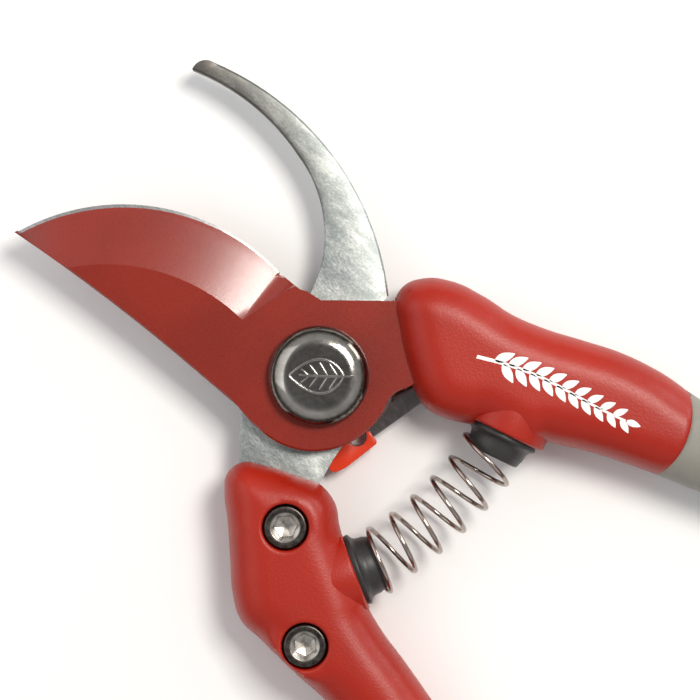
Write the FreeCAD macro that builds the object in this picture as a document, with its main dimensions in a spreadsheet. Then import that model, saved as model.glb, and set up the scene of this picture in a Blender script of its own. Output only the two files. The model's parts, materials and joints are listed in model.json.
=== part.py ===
import FreeCAD, Part
import Sketcher
import math
import os

# Bypass pruning shears.  Millimetres, +Z towards the head of the pivot bolt, origin on the pivot axis in the
# plane that the shears lie on, +X towards the blade tips.  The cutting half is drawn open, where the spring
# holds it.

SIZES = {
    # layers, counted up from the plane that the shears lie on
    "handle_thick": 18.0, "handle_round": 4.2, "blade_low": 9.5, "blade_thick": 3.5,
    "hook_low": 5.0, "hook_thick": 4.45, "core_low": 5.0, "core_thick": 8.0, "plate_chamfer": 0.35,
    "land_high": 0.9, "edge_high": 0.25,
    # pivot
    "bolt_radius": 4.5, "bolt_square": 9.1, "bolt_head_radius": 9.85, "bolt_head_high": 4.6, "bolt_low": 1.4,
    "dome_share": 0.74, "bolt_engrave": 0.35, "bush_outer": 6.5, "bush_gap": 0.03,
    "nut_radius": 8.05, "nut_thick": 4.2, "washer_radius": 8.4, "washer_thick": 0.4,
    "spring_washer_radius": 7.6, "spring_washer_wall": 0.9, "spring_washer_gap": 0.1,
    "spring_washer_top": 1.0,
    # tang screws and what they hold
    "screw_radius": 2.5, "screw_head_radius": 4.25, "screw_head_high": 5.0, "socket_flats": 4.0,
    "socket_deep": 2.8, "shank_low": 1.0, "shank_room": 16.0, "counterbore_radius": 4.55,
    "hook_head_low": 12.2, "blade_head_low": 0.0,
    "nut_flats": 8.0, "tang_nut_high": 4.0, "insert_radius": 4.0, "insert_high": 3.0,
    # opening spring and its seats
    "seat_radius": 7.2, "seat_tip_radius": 5.1, "seat_high": 5.0, "seat_peg_radius": 3.5, "seat_peg_long": 4.0,
    "boss_radius": 8.3, "boss_long": 6.0,
    "wire_radius": 0.47, "coil_end_radius": 6.75, "coil_mid_radius": 5.9,
    "coil_turns": 6.0, "coil_lift": 2.7,
    # lock
    "lever_low": 2.4, "lever_thick": 2.0, "lever_pin_radius": 2.0, "lever_pin_long": 8.0,
    "lever_pin_gap": 0.04, "lever_washer": 0.2,
    "lever_slot_low": 2.2, "lever_slot_high": 2.8, "pin_head_radius": 3.3, "pin_head_high": 1.2,
    "lock_stud_radius": 1.5, "lock_stud_low": 2.2, "lock_stud_in": 3.0,
    "lock_radius": 10.0, "lock_angle_open": 123.0,
    "lever_angle": 70.07, "thumb_low": 0.9, "thumb_thick": 3.9,
}

LONG_EDGE = 24.8                                   # plate edges from this length up are broken
OVERCUT = 1.0                                      # how far a cutter reaches past the metal
SOCKET_TURNS = (15.0, 45.0)                        # how the hexagon sockets happen to stand, in degrees
TANG_NUT_TURN = 10.0
PIVOT_NUT_TURN = 30.0
SPRING_POINTS = 12                                 # points of the wire's path in one turn
COIL_START = -0.17                                 # where in its first turn the wire begins
FLARE_TURNS = 0.9                                  # the length, in turns, over which an end coil widens
BLADE_SCREWS = [(-17.5, -24.2), (-37.5, -30.6)]
HOOK_SCREWS = [(-13.9, 26.6), (-31.6, 41.8)]
LEVER_PIN = (-20.0, -14.0)
BLADE_SEAT = ((-35.0, -14.5), (-0.24, 0.97))       # middle of the base, and the way the cone points
HOOK_SEAT = ((-30.1, 24.6), (-0.49, -0.87))
SPRING_BOW = (-35.7, 2.5)                          # middle of the spring's curved axis

# Outlines.  Each is a start point and then straight runs ("line", to) and arcs ("arc", through, to).
BLADE_OUTLINE = ((63.6, 16.7), [
    ("arc", (47.9, -3.5), (18.6, -10.5)), ("line", (13.6, -10.6)), ("line", (12.4, -11.2)),
    ("line", (9.2, -11.6)), ("line", (-1.5, -20.4)), ("arc", (-7.0, -25.6), (-14.0, -29.0)),
    ("line", (-42.0, -36.8)), ("arc", (-45.0, -34.0), (-43.0, -29.6)), ("line", (-28.0, -20.6)),
    ("arc", (-19.0, -16.6), (-15.6, -12.2)), ("line", (-14.6, -9.0)), ("arc", (-13.5, -6.4), (-13.7, -4.4)),
    ("arc", (-10.7, 9.9), (1.0, 15.5)), ("line", (4.6, 15.4)), ("line", (8.2, 14.7)), ("line", (23.1, 14.6)),
    ("arc", (43.1, 15.1), (63.6, 16.7))])
HOOK_OUTLINE = ((57.8, -30.1), [
    ("arc", (42.9, -32.4), (31.1, -30.6)), ("arc", (20.2, -25.1), (12.7, -14.8)),
    ("line", (11.6, -11.0)), ("arc", (15.0, 3.0), (8.2, 13.0)), ("line", (6.9, 15.7)), ("line", (1.1, 23.3)),
    ("arc", (-7.5, 34.0), (-18.0, 43.0)), ("arc", (-25.0, 45.4), (-33.0, 45.4)),
    ("arc", (-36.3, 41.6), (-33.4, 37.8)), ("arc", (-23.2, 31.0), (-17.0, 20.5)), ("line", (-13.7, 16.1)),
    ("line", (-12.7, 10.8)), ("line", (-12.4, 7.6)), ("arc", (-13.4, -5.0), (-0.3, -15.5)),
    ("line", (-0.3, -20.9)), ("arc", (24.4, -34.6), (55.4, -33.9)), ("arc", (57.6, -32.4), (57.8, -30.1))])
BLADE_CORE_OUTLINE = ((-13.5, -19.5), [
    ("line", (-16.8, -13.4)), ("arc", (-20.4, -10.7), (-23.3, -14.2)), ("line", (-27.0, -17.8)),
    ("line", (-36.0, -22.6)), ("line", (-60.0, -31.6)), ("line", (-90.0, -39.8)), ("line", (-125.0, -50.2)),
    ("arc", (-128.6, -55.0), (-123.0, -58.4)), ("line", (-90.0, -48.6)), ("line", (-60.0, -40.4)),
    ("line", (-34.0, -33.2)), ("line", (-12.0, -27.6)), ("line", (-13.5, -19.5))])
HOOK_CORE_OUTLINE = ((-8.0, 22.6), [
    ("line", (-6.4, 30.4)), ("arc", (-13.0, 38.2), (-22.0, 43.8)), ("line", (-42.0, 44.6)),
    ("line", (-60.0, 47.4)), ("line", (-90.0, 55.4)), ("line", (-117.0, 63.4)),
    ("arc", (-121.0, 60.0), (-118.0, 56.0)), ("line", (-90.0, 47.2)), ("line", (-60.0, 39.4)),
    ("line", (-44.0, 36.2)), ("line", (-34.0, 34.6)), ("line", (-25.0, 30.4)), ("line", (-19.5, 24.0)),
    ("line", (-8.0, 22.6))])
LEVER_SLOT_OUTLINE = ((-24.6, -14.0), [
    ("line", (-23.2, -6.0)), ("line", (-8.0, -6.0)), ("line", (-12.4, -15.2)), ("line", (-16.75, -17.25)),
    ("arc", (-21.57, -18.32), (-24.6, -14.0))])
# The lever lies along +X of its own frame, from its pin to the catch that takes the lock stud.
LEVER_OUTLINE = ((0.8, 3.9), [
    ("arc", (-4.0, 0.0), (1.2, -3.8)), ("line", (10.0, -3.7)), ("line", (13.5, -2.6)), ("line", (17.75, -1.0)),
    ("line", (17.75, 0.0)), ("arc", (19.55, 1.8), (21.35, 0.0)), ("line", (21.35, -1.0)),
    ("line", (23.75, -1.0)), ("line", (24.2, 3.2)), ("line", (17.4, 3.1)), ("line", (16.6, 1.9)),
    ("line", (5.1, 0.9)), ("arc", (3.4, 2.4), (0.8, 3.9))])
THUMB_OUTLINE = ((16.7, 2.4), [
    ("line", (16.9, 0.4)), ("line", (17.6, 0.2)), ("arc", (19.55, 2.1), (21.5, 0.2)),
    ("line", (21.8, -0.7)), ("arc", (23.4, -1.7), (24.6, -0.9)), ("line", (24.9, 0.6)),
    ("line", (25.8, 1.7)), ("line", (27.2, 2.2)), ("arc", (27.4, 3.4), (26.4, 4.2)), ("line", (24.6, 4.4)),
    ("line", (17.4, 3.4)), ("arc", (16.7, 3.0), (16.7, 2.4))])
# The whole of each handle, as points that one smooth closed curve passes through.
BLADE_HANDLE_CURVE = [
    (-1.9, -20.7), (-1.4, -24.4), (-3.9, -28.4), (-8.5, -31.2), (-15.0, -32.8), (-21.4, -33.6), (-28.0, -35.6),
    (-35.1, -38.6), (-42.2, -41.5), (-50.0, -43.5), (-60.5, -44.6), (-75.0, -47.2), (-95.0, -52.4),
    (-113.0, -57.6), (-124.5, -61.3), (-132.6, -60.6), (-136.4, -54.9), (-133.2, -49.0), (-125.5, -47.4),
    (-110.0, -43.2), (-90.0, -36.8), (-72.0, -30.6), (-60.5, -26.8), (-49.6, -22.4), (-42.6, -18.8),
    (-35.0, -15.4), (-29.5, -12.2), (-25.2, -9.9), (-21.0, -8.7), (-17.0, -9.5), (-11.6, -12.5), (-5.6, -17.1)]
HOOK_HANDLE_CURVE = [
    (0.73, 22.75), (1.44, 26.74), (-0.4, 29.4), (-4.4, 33.2), (-9.6, 38.6), (-14.2, 43.4), (-18.6, 46.4),
    (-25.5, 47.0),
    (-34.0, 47.6), (-42.5, 48.0), (-52.0, 49.4), (-63.0, 51.9), (-80.0, 56.2), (-97.0, 61.0), (-108.0, 64.4),
    (-117.0, 67.0), (-125.4, 66.2), (-128.8, 60.4), (-125.4, 54.8), (-117.0, 52.9), (-104.0, 49.3),
    (-86.0, 43.4), (-70.0, 38.2), (-58.0, 34.6), (-49.0, 32.2), (-41.5, 30.4), (-36.0, 28.4), (-29.5, 24.6),
    (-22.6, 20.4), (-18.2, 17.0), (-14.6, 16.2), (-9.0, 17.9), (-3.0, 20.4)]
# Behind these outlines each handle is the grey sleeve, in front of them it is the red cover.
BLADE_SLEEVE_OUTLINE = ((-57.0, -48.0), [
    ("line", (-57.2, -44.4)), ("arc", (-62.8, -35.6), (-62.2, -24.0)), ("line", (-66.0, -10.0)),
    ("line", (-150.0, -30.0)), ("line", (-150.0, -75.0)), ("line", (-57.0, -48.0))])
HOOK_SLEEVE_OUTLINE = ((-57.6, 60.0), [
    ("line", (-59.6, 52.0)), ("arc", (-65.0, 44.6), (-63.4, 34.0)), ("line", (-66.0, 20.0)),
    ("line", (-150.0, 44.0)), ("line", (-150.0, 84.0)), ("line", (-57.6, 60.0))])
# The hollow of the cutting blade: its upper limit, and the same sweep close to the cutting edge.
GRIND_UPPER = ((51.3, 15.6), (33.0, 2.9), (18.5, 1.2))
EDGE_CENTRE = (23.87, 31.60)
EDGE_RADIUS = 42.43
EDGE_TIP_ANGLE = -21.5                             # the ground edge's arc runs between these, in degrees
EDGE_HEEL_ANGLE = -96.4
HEEL = (14.2, -12.5)                               # where the run-out of the hollow leaves the blade
GRIND_LAND = 1.1                                   # width of the bare ground strip along the edge
LEAF_HALVES = [((-5.6, -3.4), (-1.6, 2.9), (5.4, 4.6)), ((-5.6, -3.4), (2.6, -1.6), (5.4, 4.6))]

doc = FreeCAD.newDocument("pruning_shears")


def make_sheet():
    sheet = doc.addObject("Spreadsheet::Sheet", "sizes")
    for row, (alias, value) in enumerate(SIZES.items(), start=1):
        sheet.set("A%d" % row, alias)
        sheet.set("B%d" % row, str(value))
        sheet.setAlias("B%d" % row, alias)
    doc.recompute()
    return sheet


sheet = make_sheet()


def vec(point, height=0.0):
    return FreeCAD.Vector(point[0], point[1], height)


def bind(obj, **formulas):
    """Bind properties to the sheet; two underscores in a name stand for a dot."""
    for name, formula in formulas.items():
        obj.setExpression(name.replace("__", "."), formula)
    return obj


def new_body(name):
    return doc.addObject("PartDesign::Body", name)


def new_sketch(body, name, height, role="XY_Plane"):
    """A sketch on one of the body's origin planes, lifted by a sheet formula."""
    sketch = body.newObject("Sketcher::SketchObject", name)
    plane = [feature for feature in body.Origin.OriginFeatures if feature.Role == role][0]
    sketch.AttachmentSupport = (plane, [""])
    sketch.MapMode = "FlatFace"
    sketch.setExpression("AttachmentOffset.Base.z", height)
    return sketch


def outline_edges(outline, height=0.0):
    start, runs = outline
    edges = []
    here = start
    for run in runs:
        if run[0] == "line":
            edges.append(Part.LineSegment(vec(here, height), vec(run[1], height)))
        else:
            edges.append(Part.Arc(vec(here, height), vec(run[1], height), vec(run[2], height)))
        here = run[-1]
    if math.dist(here, start) > 1e-6:
        edges.append(Part.LineSegment(vec(here, height), vec(start, height)))
    return edges


def arc_leaving(start, heading, stop):
    """The arc that leaves one point along a heading and ends at another."""
    chord = stop - start
    normal = FreeCAD.Vector(-heading.y, heading.x, 0)
    lean = normal.dot(chord)
    if abs(lean) < 1e-4 * chord.Length:
        return Part.LineSegment(start, stop)
    radius = chord.dot(chord) / (2 * lean)
    centre = start + normal * radius
    way = (start + stop) * 0.5 - centre
    if way.Length < 1e-6 or way.dot(heading) < 0 and chord.dot(heading) < 0:
        way = heading
    return Part.Arc(start, centre + way.normalize() * abs(radius), stop)


def heading_at(before, here, after):
    """The tangent, at the middle one, of the circle through three points."""
    first = here - before
    second = after - here
    heading = first * (second.Length / first.Length) + second * (first.Length / second.Length)
    return heading.normalize()


def smooth_edges(points):
    """A closed outline of arcs, two to a span, that passes through the points without a corner."""
    places = [vec(point) for point in points]
    count = len(places)
    headings = [heading_at(places[k - 1], places[k], places[(k + 1) % count]) for k in range(count)]
    edges = []
    for k in range(count):
        start, stop = places[k], places[(k + 1) % count]
        leave, arrive = headings[k], headings[(k + 1) % count]
        chord = stop - start
        both = leave + arrive
        bend = 2 * (1 - leave.dot(arrive))
        if bend < 1e-9:
            reach = chord.dot(chord) / (4 * chord.dot(arrive))
        else:
            root = math.sqrt(chord.dot(both) ** 2 + bend * chord.dot(chord))
            reach = (root - chord.dot(both)) / bend
        middle = (start + stop + (leave - arrive) * reach) * 0.5
        edges.append(arc_leaving(start, leave, middle))
        back = arc_leaving(stop, arrive * -1, middle)
        edges.append(back)
    return edges


def draw(sketch, edges):
    for edge in edges:
        number = sketch.addGeometry(edge, False)
        sketch.addConstraint(Sketcher.Constraint("Block", number))


def draw_circle(sketch, point, radius):
    """A circle fixed in place, its radius bound to the sheet."""
    number = sketch.addGeometry(Part.Circle(vec(point), FreeCAD.Vector(0, 0, 1), 1.0), False)
    sketch.addConstraint(Sketcher.Constraint("DistanceX", number, 3, point[0]))
    sketch.addConstraint(Sketcher.Constraint("DistanceY", number, 3, point[1]))
    size = sketch.addConstraint(Sketcher.Constraint("Radius", number, 1.0))
    sketch.setExpression("Constraints[%d]" % size, radius)


def draw_polygon(sketch, point, corner_radius, corners, turn=0.0):
    """A regular polygon about a point; the corner radius is a number."""
    angles = [math.radians(turn + 360.0 * k / corners) for k in range(corners)]
    points = [(point[0] + corner_radius * math.cos(angle), point[1] + corner_radius * math.sin(angle))
              for angle in angles]
    draw(sketch, outline_edges((points[0], [("line", p) for p in points[1:]])))


def pad(body, sketch, name, length):
    feature = body.newObject("PartDesign::Pad", name)
    feature.Profile = sketch
    return bind(feature, Length=length)


def pocket(body, sketch, name, length, upwards=True):
    feature = body.newObject("PartDesign::Pocket", name)
    feature.Profile = sketch
    feature.Reversed = upwards
    return bind(feature, Length=length)


def padded_outline(name, outline, low, thick, chamfer=None):
    """A plate of an outline; its long edges are broken if there is a chamfer formula."""
    body = new_body(name)
    sketch = new_sketch(body, name + "_outline", low)
    draw(sketch, outline_edges(outline))
    plate = pad(body, sketch, name + "_pad", thick)
    if chamfer:
        doc.recompute()
        edge_break = body.newObject("PartDesign::Chamfer", name + "_edges")
        edge_break.Base = (plate, level_edges(plate.Shape, LONG_EDGE))
        bind(edge_break, Size=chamfer)
    return body


def level_edges(shape, shortest=0.0):
    return ["Edge%d" % (k + 1) for k, edge in enumerate(shape.Edges)
            if edge.BoundBox.ZLength < 0.01 and edge.Length >= shortest]


def cylinder(name, point, low, radius, height):
    """An upright cylinder whose radius, height and foot are sheet formulas."""
    part = doc.addObject("Part::Cylinder", name)
    part.Placement = FreeCAD.Placement(vec(point), FreeCAD.Rotation())
    return bind(part, Radius=radius, Height=height, Placement__Base__z=low)


def fuse(name, parts):
    whole = doc.addObject("Part::MultiFuse", name)
    whole.Shapes = parts
    return whole


def cut(name, base, tools):
    result = doc.addObject("Part::Cut", name)
    result.Base = base
    result.Tool = tools[0] if len(tools) == 1 else fuse(name + "_cutters", tools)
    return result


def common(name, base, tool):
    result = doc.addObject("Part::Common", name)
    result.Base = base
    result.Tool = tool
    return result


def lying(part, point, direction, height):
    """Turn a part so that its own +Z points along a level direction."""
    turn = FreeCAD.Rotation(FreeCAD.Vector(0, 0, 1), vec(direction))
    part.Placement = FreeCAD.Placement(vec(point), turn)
    part.setExpression("Placement.Base.z", height)
    return part


MIDDLE = "sizes.handle_thick / 2"
BLADE_TOP = "sizes.blade_low + sizes.blade_thick"


def handle_form(name, curve, seat):
    """A handle's outer form: a smooth closed outline with rounded rims, and a boss under its spring seat."""
    body = new_body(name)
    sketch = new_sketch(body, name + "_outline", "0")
    draw(sketch, smooth_edges(curve))
    slab = pad(body, sketch, name + "_pad", "sizes.handle_thick")
    doc.recompute()
    rounding = body.newObject("PartDesign::Fillet", name + "_rims")
    rounding.Base = (slab, level_edges(slab.Shape))
    bind(rounding, Radius="sizes.handle_round")
    boss = doc.addObject("Part::Cylinder", name + "_boss")
    bind(boss, Radius="sizes.boss_radius", Height="sizes.boss_long")
    back = (-seat[1][0], -seat[1][1])
    lying(boss, seat[0], back, MIDDLE)
    return fuse(name + "_with_boss", [body, boss])


def make_blade_blank():
    body = padded_outline("blade_blank", BLADE_OUTLINE, "sizes.blade_low", "sizes.blade_thick",
                          "sizes.plate_chamfer")
    sketch = new_sketch(body, "blade_square_hole", "sizes.blade_low")
    half = sheet.bolt_square / 2
    square = ((half, half), [("line", (-half, half)), ("line", (-half, -half)), ("line", (half, -half))])
    draw(sketch, outline_edges(square))
    pocket(body, sketch, "blade_square", "sizes.blade_thick")
    return body


def prism_above(name, inner, outer):
    """A solid straight above a strip that is ruled between two curves."""
    part = doc.addObject("Part::Feature", name)
    strip = Part.makeRuledSurface(inner, outer)
    part.Shape = strip.extrude(FreeCAD.Vector(0, 0, 2 * sheet.blade_thick))
    return part


def on_edge_circle(angle, radius, height):
    turned = math.radians(angle)
    return FreeCAD.Vector(EDGE_CENTRE[0] + radius * math.cos(turned),
                          EDGE_CENTRE[1] + radius * math.sin(turned), height)


def edge_arc(radius, height):
    middle = (EDGE_TIP_ANGLE + EDGE_HEEL_ANGLE) / 2
    return Part.Arc(on_edge_circle(EDGE_TIP_ANGLE, radius, height), on_edge_circle(middle, radius, height),
                    on_edge_circle(EDGE_HEEL_ANGLE, radius, height)).toShape()


def make_cutting_blade():
    """The blade with a hollow ground down to a bare land, and the land's slope down to the edge."""
    top = sheet.blade_low + sheet.blade_thick
    land = sheet.blade_low + sheet.land_high
    edge = sheet.blade_low + sheet.edge_high
    start, middle, stop = GRIND_UPPER
    upper = Part.Arc(vec(start, top), vec(middle, top), vec(stop, top)).toShape()
    inner = edge_arc(EDGE_RADIUS - GRIND_LAND, land)
    outer = edge_arc(EDGE_RADIUS + OVERCUT, edge)
    run_out = make_run_out(vec(stop, top), inner.Vertexes[1].Point, outer.Vertexes[1].Point, top)
    tools = [prism_above("blade_hollow", upper, inner), prism_above("blade_land", inner, outer), run_out]
    tools += [cylinder("blade_screw_hole_%d" % k, point, "sizes.blade_low - 1", "sizes.screw_radius",
                       "sizes.core_thick") for k, point in enumerate(BLADE_SCREWS)]
    return cut("cutting_blade", make_blade_blank(), tools)


def make_run_out(high, inner, outer, top):
    """The facet where the hollow runs out towards the heel."""
    heel = vec(HEEL, top)
    part = doc.addObject("Part::Feature", "blade_run_out")
    first = Part.Face(Part.makePolygon([high, inner, heel, high]))
    second = Part.Face(Part.makePolygon([inner, outer, heel, inner]))
    lift = FreeCAD.Vector(0, 0, 2 * sheet.blade_thick)
    part.Shape = first.extrude(lift).fuse(second.extrude(lift))
    return part


def make_counter_blade():
    blank = padded_outline("hook_blank", HOOK_OUTLINE, "sizes.hook_low", "sizes.hook_thick",
                           "sizes.plate_chamfer")
    holes = [cylinder("hook_bore", (0, 0), "sizes.hook_low - 1", "sizes.bush_outer", "sizes.core_thick")]
    holes += [cylinder("hook_screw_hole_%d" % k, point, "sizes.hook_low - 1", "sizes.screw_radius",
                       "sizes.core_thick") for k, point in enumerate(HOOK_SCREWS)]
    holes.append(cylinder("hook_stud_hole", lock_stud_place(), "sizes.hook_low - 1", "sizes.lock_stud_radius",
                          "sizes.lock_stud_in + 1"))
    return cut("counter_blade", blank, holes)


def lock_stud_place():
    angle = math.radians(sheet.lock_angle_open)
    return (sheet.lock_radius * math.cos(angle), sheet.lock_radius * math.sin(angle))


def make_pivot_bolt():
    """A domed head, a square neck in the blade and a round shank."""
    body = new_body("pivot_bolt")
    shank = new_sketch(body, "bolt_shank", "sizes.bolt_low")
    draw_circle(shank, (0, 0), "sizes.bolt_radius")
    pad(body, shank, "bolt_shank_pad", BLADE_TOP + " - sizes.bolt_low")
    neck = new_sketch(body, "bolt_neck", "sizes.blade_low")
    half = sheet.bolt_square / 2
    draw(neck, outline_edges(((half, half), [("line", (-half, half)), ("line", (-half, -half)),
                                             ("line", (half, -half))])))
    pad(body, neck, "bolt_neck_pad", "sizes.blade_thick")
    head = new_sketch(body, "bolt_head", BLADE_TOP + " + sizes.washer_thick")
    draw_circle(head, (0, 0), "sizes.bolt_head_radius")
    pad(body, head, "bolt_head_pad", "sizes.bolt_head_high")
    collar = new_sketch(body, "bolt_collar", BLADE_TOP)
    draw_circle(collar, (0, 0), "sizes.bolt_radius")
    last = pad(body, collar, "bolt_collar_pad", "sizes.washer_thick")
    doc.recompute()
    solid = last.Shape
    top = max(edge.BoundBox.ZMax for edge in solid.Edges)
    rim = ["Edge%d" % (k + 1) for k, edge in enumerate(solid.Edges) if edge.BoundBox.ZMin > top - 0.01]
    dome = body.newObject("PartDesign::Fillet", "bolt_dome")
    dome.Base = (last, rim)
    bind(dome, Radius="sizes.dome_share * sizes.bolt_head_high")
    motif = new_sketch(body, "bolt_motif", BLADE_TOP + " + sizes.washer_thick + sizes.bolt_head_high")
    draw(motif, [Part.Arc(vec(a), vec(b), vec(c)) for a, b, c in LEAF_HALVES])
    pocket(body, motif, "bolt_motif_cut", "sizes.bolt_engrave", upwards=False)
    return body


def make_pivot_nut():
    body = new_body("pivot_nut")
    outline = new_sketch(body, "nut_outline", "0")
    draw_polygon(outline, (0, 0), sheet.nut_radius, 6, turn=PIVOT_NUT_TURN)
    pad(body, outline, "nut_pad", "sizes.nut_thick")
    bore = new_sketch(body, "nut_bore", "sizes.bolt_low")
    draw_circle(bore, (0, 0), "sizes.bolt_radius")
    pocket(body, bore, "nut_bore_cut", "sizes.nut_thick")
    return body


def ring(name, point, low, outer, inner, height):
    return cut(name, cylinder(name + "_disc", point, low, outer, height),
               [cylinder(name + "_bore", point, low + " - 1", inner, "sizes.core_thick")])


def make_spring_washer():
    """A shallow cone that keeps the joint under load."""
    low = "sizes.nut_thick"
    gap = "sizes.hook_low - sizes.nut_thick"
    cone = doc.addObject("Part::Cone", "spring_washer_cone")
    bind(cone, Radius1="sizes.spring_washer_radius", Height=gap, Placement__Base__z=low,
         Radius2="sizes.bolt_radius + sizes.spring_washer_gap + sizes.spring_washer_top")
    hollow = doc.addObject("Part::Cone", "spring_washer_hollow")
    bind(hollow, Radius1="sizes.spring_washer_radius - sizes.spring_washer_wall", Height=gap,
         Radius2="sizes.bolt_radius + sizes.spring_washer_gap", Placement__Base__z=low)
    return cut("spring_washer", cone, [hollow])


def make_screws(name, places, head_low, upwards):
    """Socket-cap screws; upwards is true where the heads are on top."""
    pieces = []
    for k, point in enumerate(places):
        head = cylinder("%s_head_%d" % (name, k), point, head_low, "sizes.screw_head_radius",
                        "sizes.screw_head_high")
        socket = new_body("%s_socket_%d" % (name, k))
        socket_low = head_low + (" + sizes.screw_head_high - sizes.socket_deep" if upwards else "")
        sketch = new_sketch(socket, "%s_hexagon_%d" % (name, k), socket_low)
        draw_polygon(sketch, point, sheet.socket_flats / math.sqrt(3), 6, turn=SOCKET_TURNS[k])
        pad(socket, sketch, "%s_socket_pad_%d" % (name, k), "sizes.socket_deep")
        if upwards:
            shank = cylinder("%s_shank_%d" % (name, k), point, "sizes.shank_low", "sizes.screw_radius",
                             head_low + " - sizes.shank_low")
        else:
            top = "sizes.core_low + sizes.core_thick + sizes.insert_high"
            shank = cylinder("%s_shank_%d" % (name, k), point, "sizes.screw_head_high", "sizes.screw_radius",
                             top + " - sizes.screw_head_high")
        pieces.append(fuse("%s_piece_%d" % (name, k),
                           [cut("%s_head_cut_%d" % (name, k), head, [socket]), shank]))
    group = doc.addObject("Part::Compound", name)
    group.Links = pieces
    return group


def make_tang_nuts():
    pieces = []
    for k, point in enumerate(HOOK_SCREWS):
        body = new_body("tang_nut_%d" % k)
        outline = new_sketch(body, "tang_nut_outline_%d" % k, "sizes.hook_low - sizes.tang_nut_high")
        draw_polygon(outline, point, sheet.nut_flats / math.sqrt(3), 6, turn=TANG_NUT_TURN)
        pad(body, outline, "tang_nut_pad_%d" % k, "sizes.tang_nut_high")
        bore = new_sketch(body, "tang_nut_bore_%d" % k, "sizes.hook_low - sizes.tang_nut_high")
        draw_circle(bore, point, "sizes.screw_radius")
        pocket(body, bore, "tang_nut_bore_cut_%d" % k, "sizes.tang_nut_high")
        pieces.append(body)
    group = doc.addObject("Part::Compound", "hook_handle_nuts")
    group.Links = pieces
    return group


def make_inserts():
    pieces = [ring("insert_%d" % k, point, BLADE_TOP, "sizes.insert_radius", "sizes.screw_radius",
                   "sizes.insert_high") for k, point in enumerate(BLADE_SCREWS)]
    group = doc.addObject("Part::Compound", "blade_handle_inserts")
    group.Links = pieces
    return group


def make_seat(name, seat):
    """A rubber cone that the spring slips over, with a peg in the handle."""
    point, direction = seat
    cone = doc.addObject("Part::Cone", name + "_cone")
    bind(cone, Radius1="sizes.seat_radius", Radius2="sizes.seat_tip_radius", Height="sizes.seat_high")
    lying(cone, point, direction, MIDDLE)
    peg = doc.addObject("Part::Cylinder", name + "_peg")
    bind(peg, Radius="sizes.seat_peg_radius", Height="sizes.seat_peg_long")
    lying(peg, point, (-direction[0], -direction[1]), MIDDLE)
    return fuse(name, [cone, peg])


def make_spring():
    """Round wire wound right-handed about an axis that bows between the two seats, wider at both ends."""
    lift = sheet.coil_lift
    ends = [vec(place) + vec(way) * lift for place, way in (HOOK_SEAT, BLADE_SEAT)]
    axis = Part.Arc(ends[0], vec(SPRING_BOW), ends[1])
    length = axis.length()
    middle = sheet.handle_thick / 2
    steps = int(sheet.coil_turns * SPRING_POINTS)
    points = []
    for k in range(steps + 1):
        share = k / steps
        place = axis.parameterAtDistance(share * length, axis.FirstParameter)
        centre = axis.value(place)
        along = axis.tangent(place)[0]
        side = FreeCAD.Vector(along.y, -along.x, 0)
        nearness = min(share, 1 - share) * sheet.coil_turns
        blend = max(0.0, 1 - nearness / FLARE_TURNS)
        radius = sheet.coil_mid_radius + (sheet.coil_end_radius - sheet.coil_mid_radius) * blend
        turn = 2 * math.pi * (sheet.coil_turns * share + COIL_START)
        point = centre + side * (radius * math.cos(turn)) + FreeCAD.Vector(0, 0, radius * math.sin(turn))
        points.append(point + FreeCAD.Vector(0, 0, middle))
    path = Part.BSplineCurve()
    path.interpolate(points)
    wire = Part.Wire([path.toShape()])
    start = Part.Circle(points[0], path.tangent(path.FirstParameter)[0], sheet.wire_radius)
    profile = Part.Wire([start.toShape()])
    part = doc.addObject("Part::Feature", "opening_spring")
    part.Shape = wire.makePipeShell([profile], True, False)
    return part


def make_lever():
    body = padded_outline("lock_lever", LEVER_OUTLINE, "sizes.lever_low", "sizes.lever_thick")
    bore = new_sketch(body, "lever_bore", "sizes.lever_low")
    draw_circle(bore, (0, 0), "sizes.lever_pin_radius + sizes.lever_pin_gap")
    pocket(body, bore, "lever_bore_cut", "sizes.lever_thick")
    return place_on_pin(body)


def place_on_pin(part):
    part.Placement = FreeCAD.Placement(vec(LEVER_PIN), FreeCAD.Rotation())
    part.setExpression("Placement.Rotation.Angle", "sizes.lever_angle")
    return part


def make_thumb_pad(lever):
    form = place_on_pin(padded_outline("thumb_form", THUMB_OUTLINE, "sizes.thumb_low", "sizes.thumb_thick"))
    return cut("lock_thumb_pad", form, [lever])


def make_lever_pin():
    head = cylinder("pin_head", LEVER_PIN, "sizes.lever_slot_low - sizes.pin_head_high",
                    "sizes.pin_head_radius", "sizes.pin_head_high")
    shank = cylinder("pin_shank", LEVER_PIN, "sizes.lever_slot_low", "sizes.lever_pin_radius",
                     "sizes.lever_pin_long")
    return fuse("lock_lever_pin", [head, shank])


def make_lever_washers():
    low = ring("lever_washer_low", LEVER_PIN, "sizes.lever_low - sizes.lever_washer", "sizes.pin_head_radius",
               "sizes.lever_pin_radius", "sizes.lever_washer")
    high = ring("lever_washer_high", LEVER_PIN, "sizes.lever_low + sizes.lever_thick", "sizes.pin_head_radius",
                "sizes.lever_pin_radius", "sizes.core_low - sizes.lever_low - sizes.lever_thick")
    group = doc.addObject("Part::Compound", "lock_lever_washers")
    group.Links = [low, high]
    return group


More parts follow.
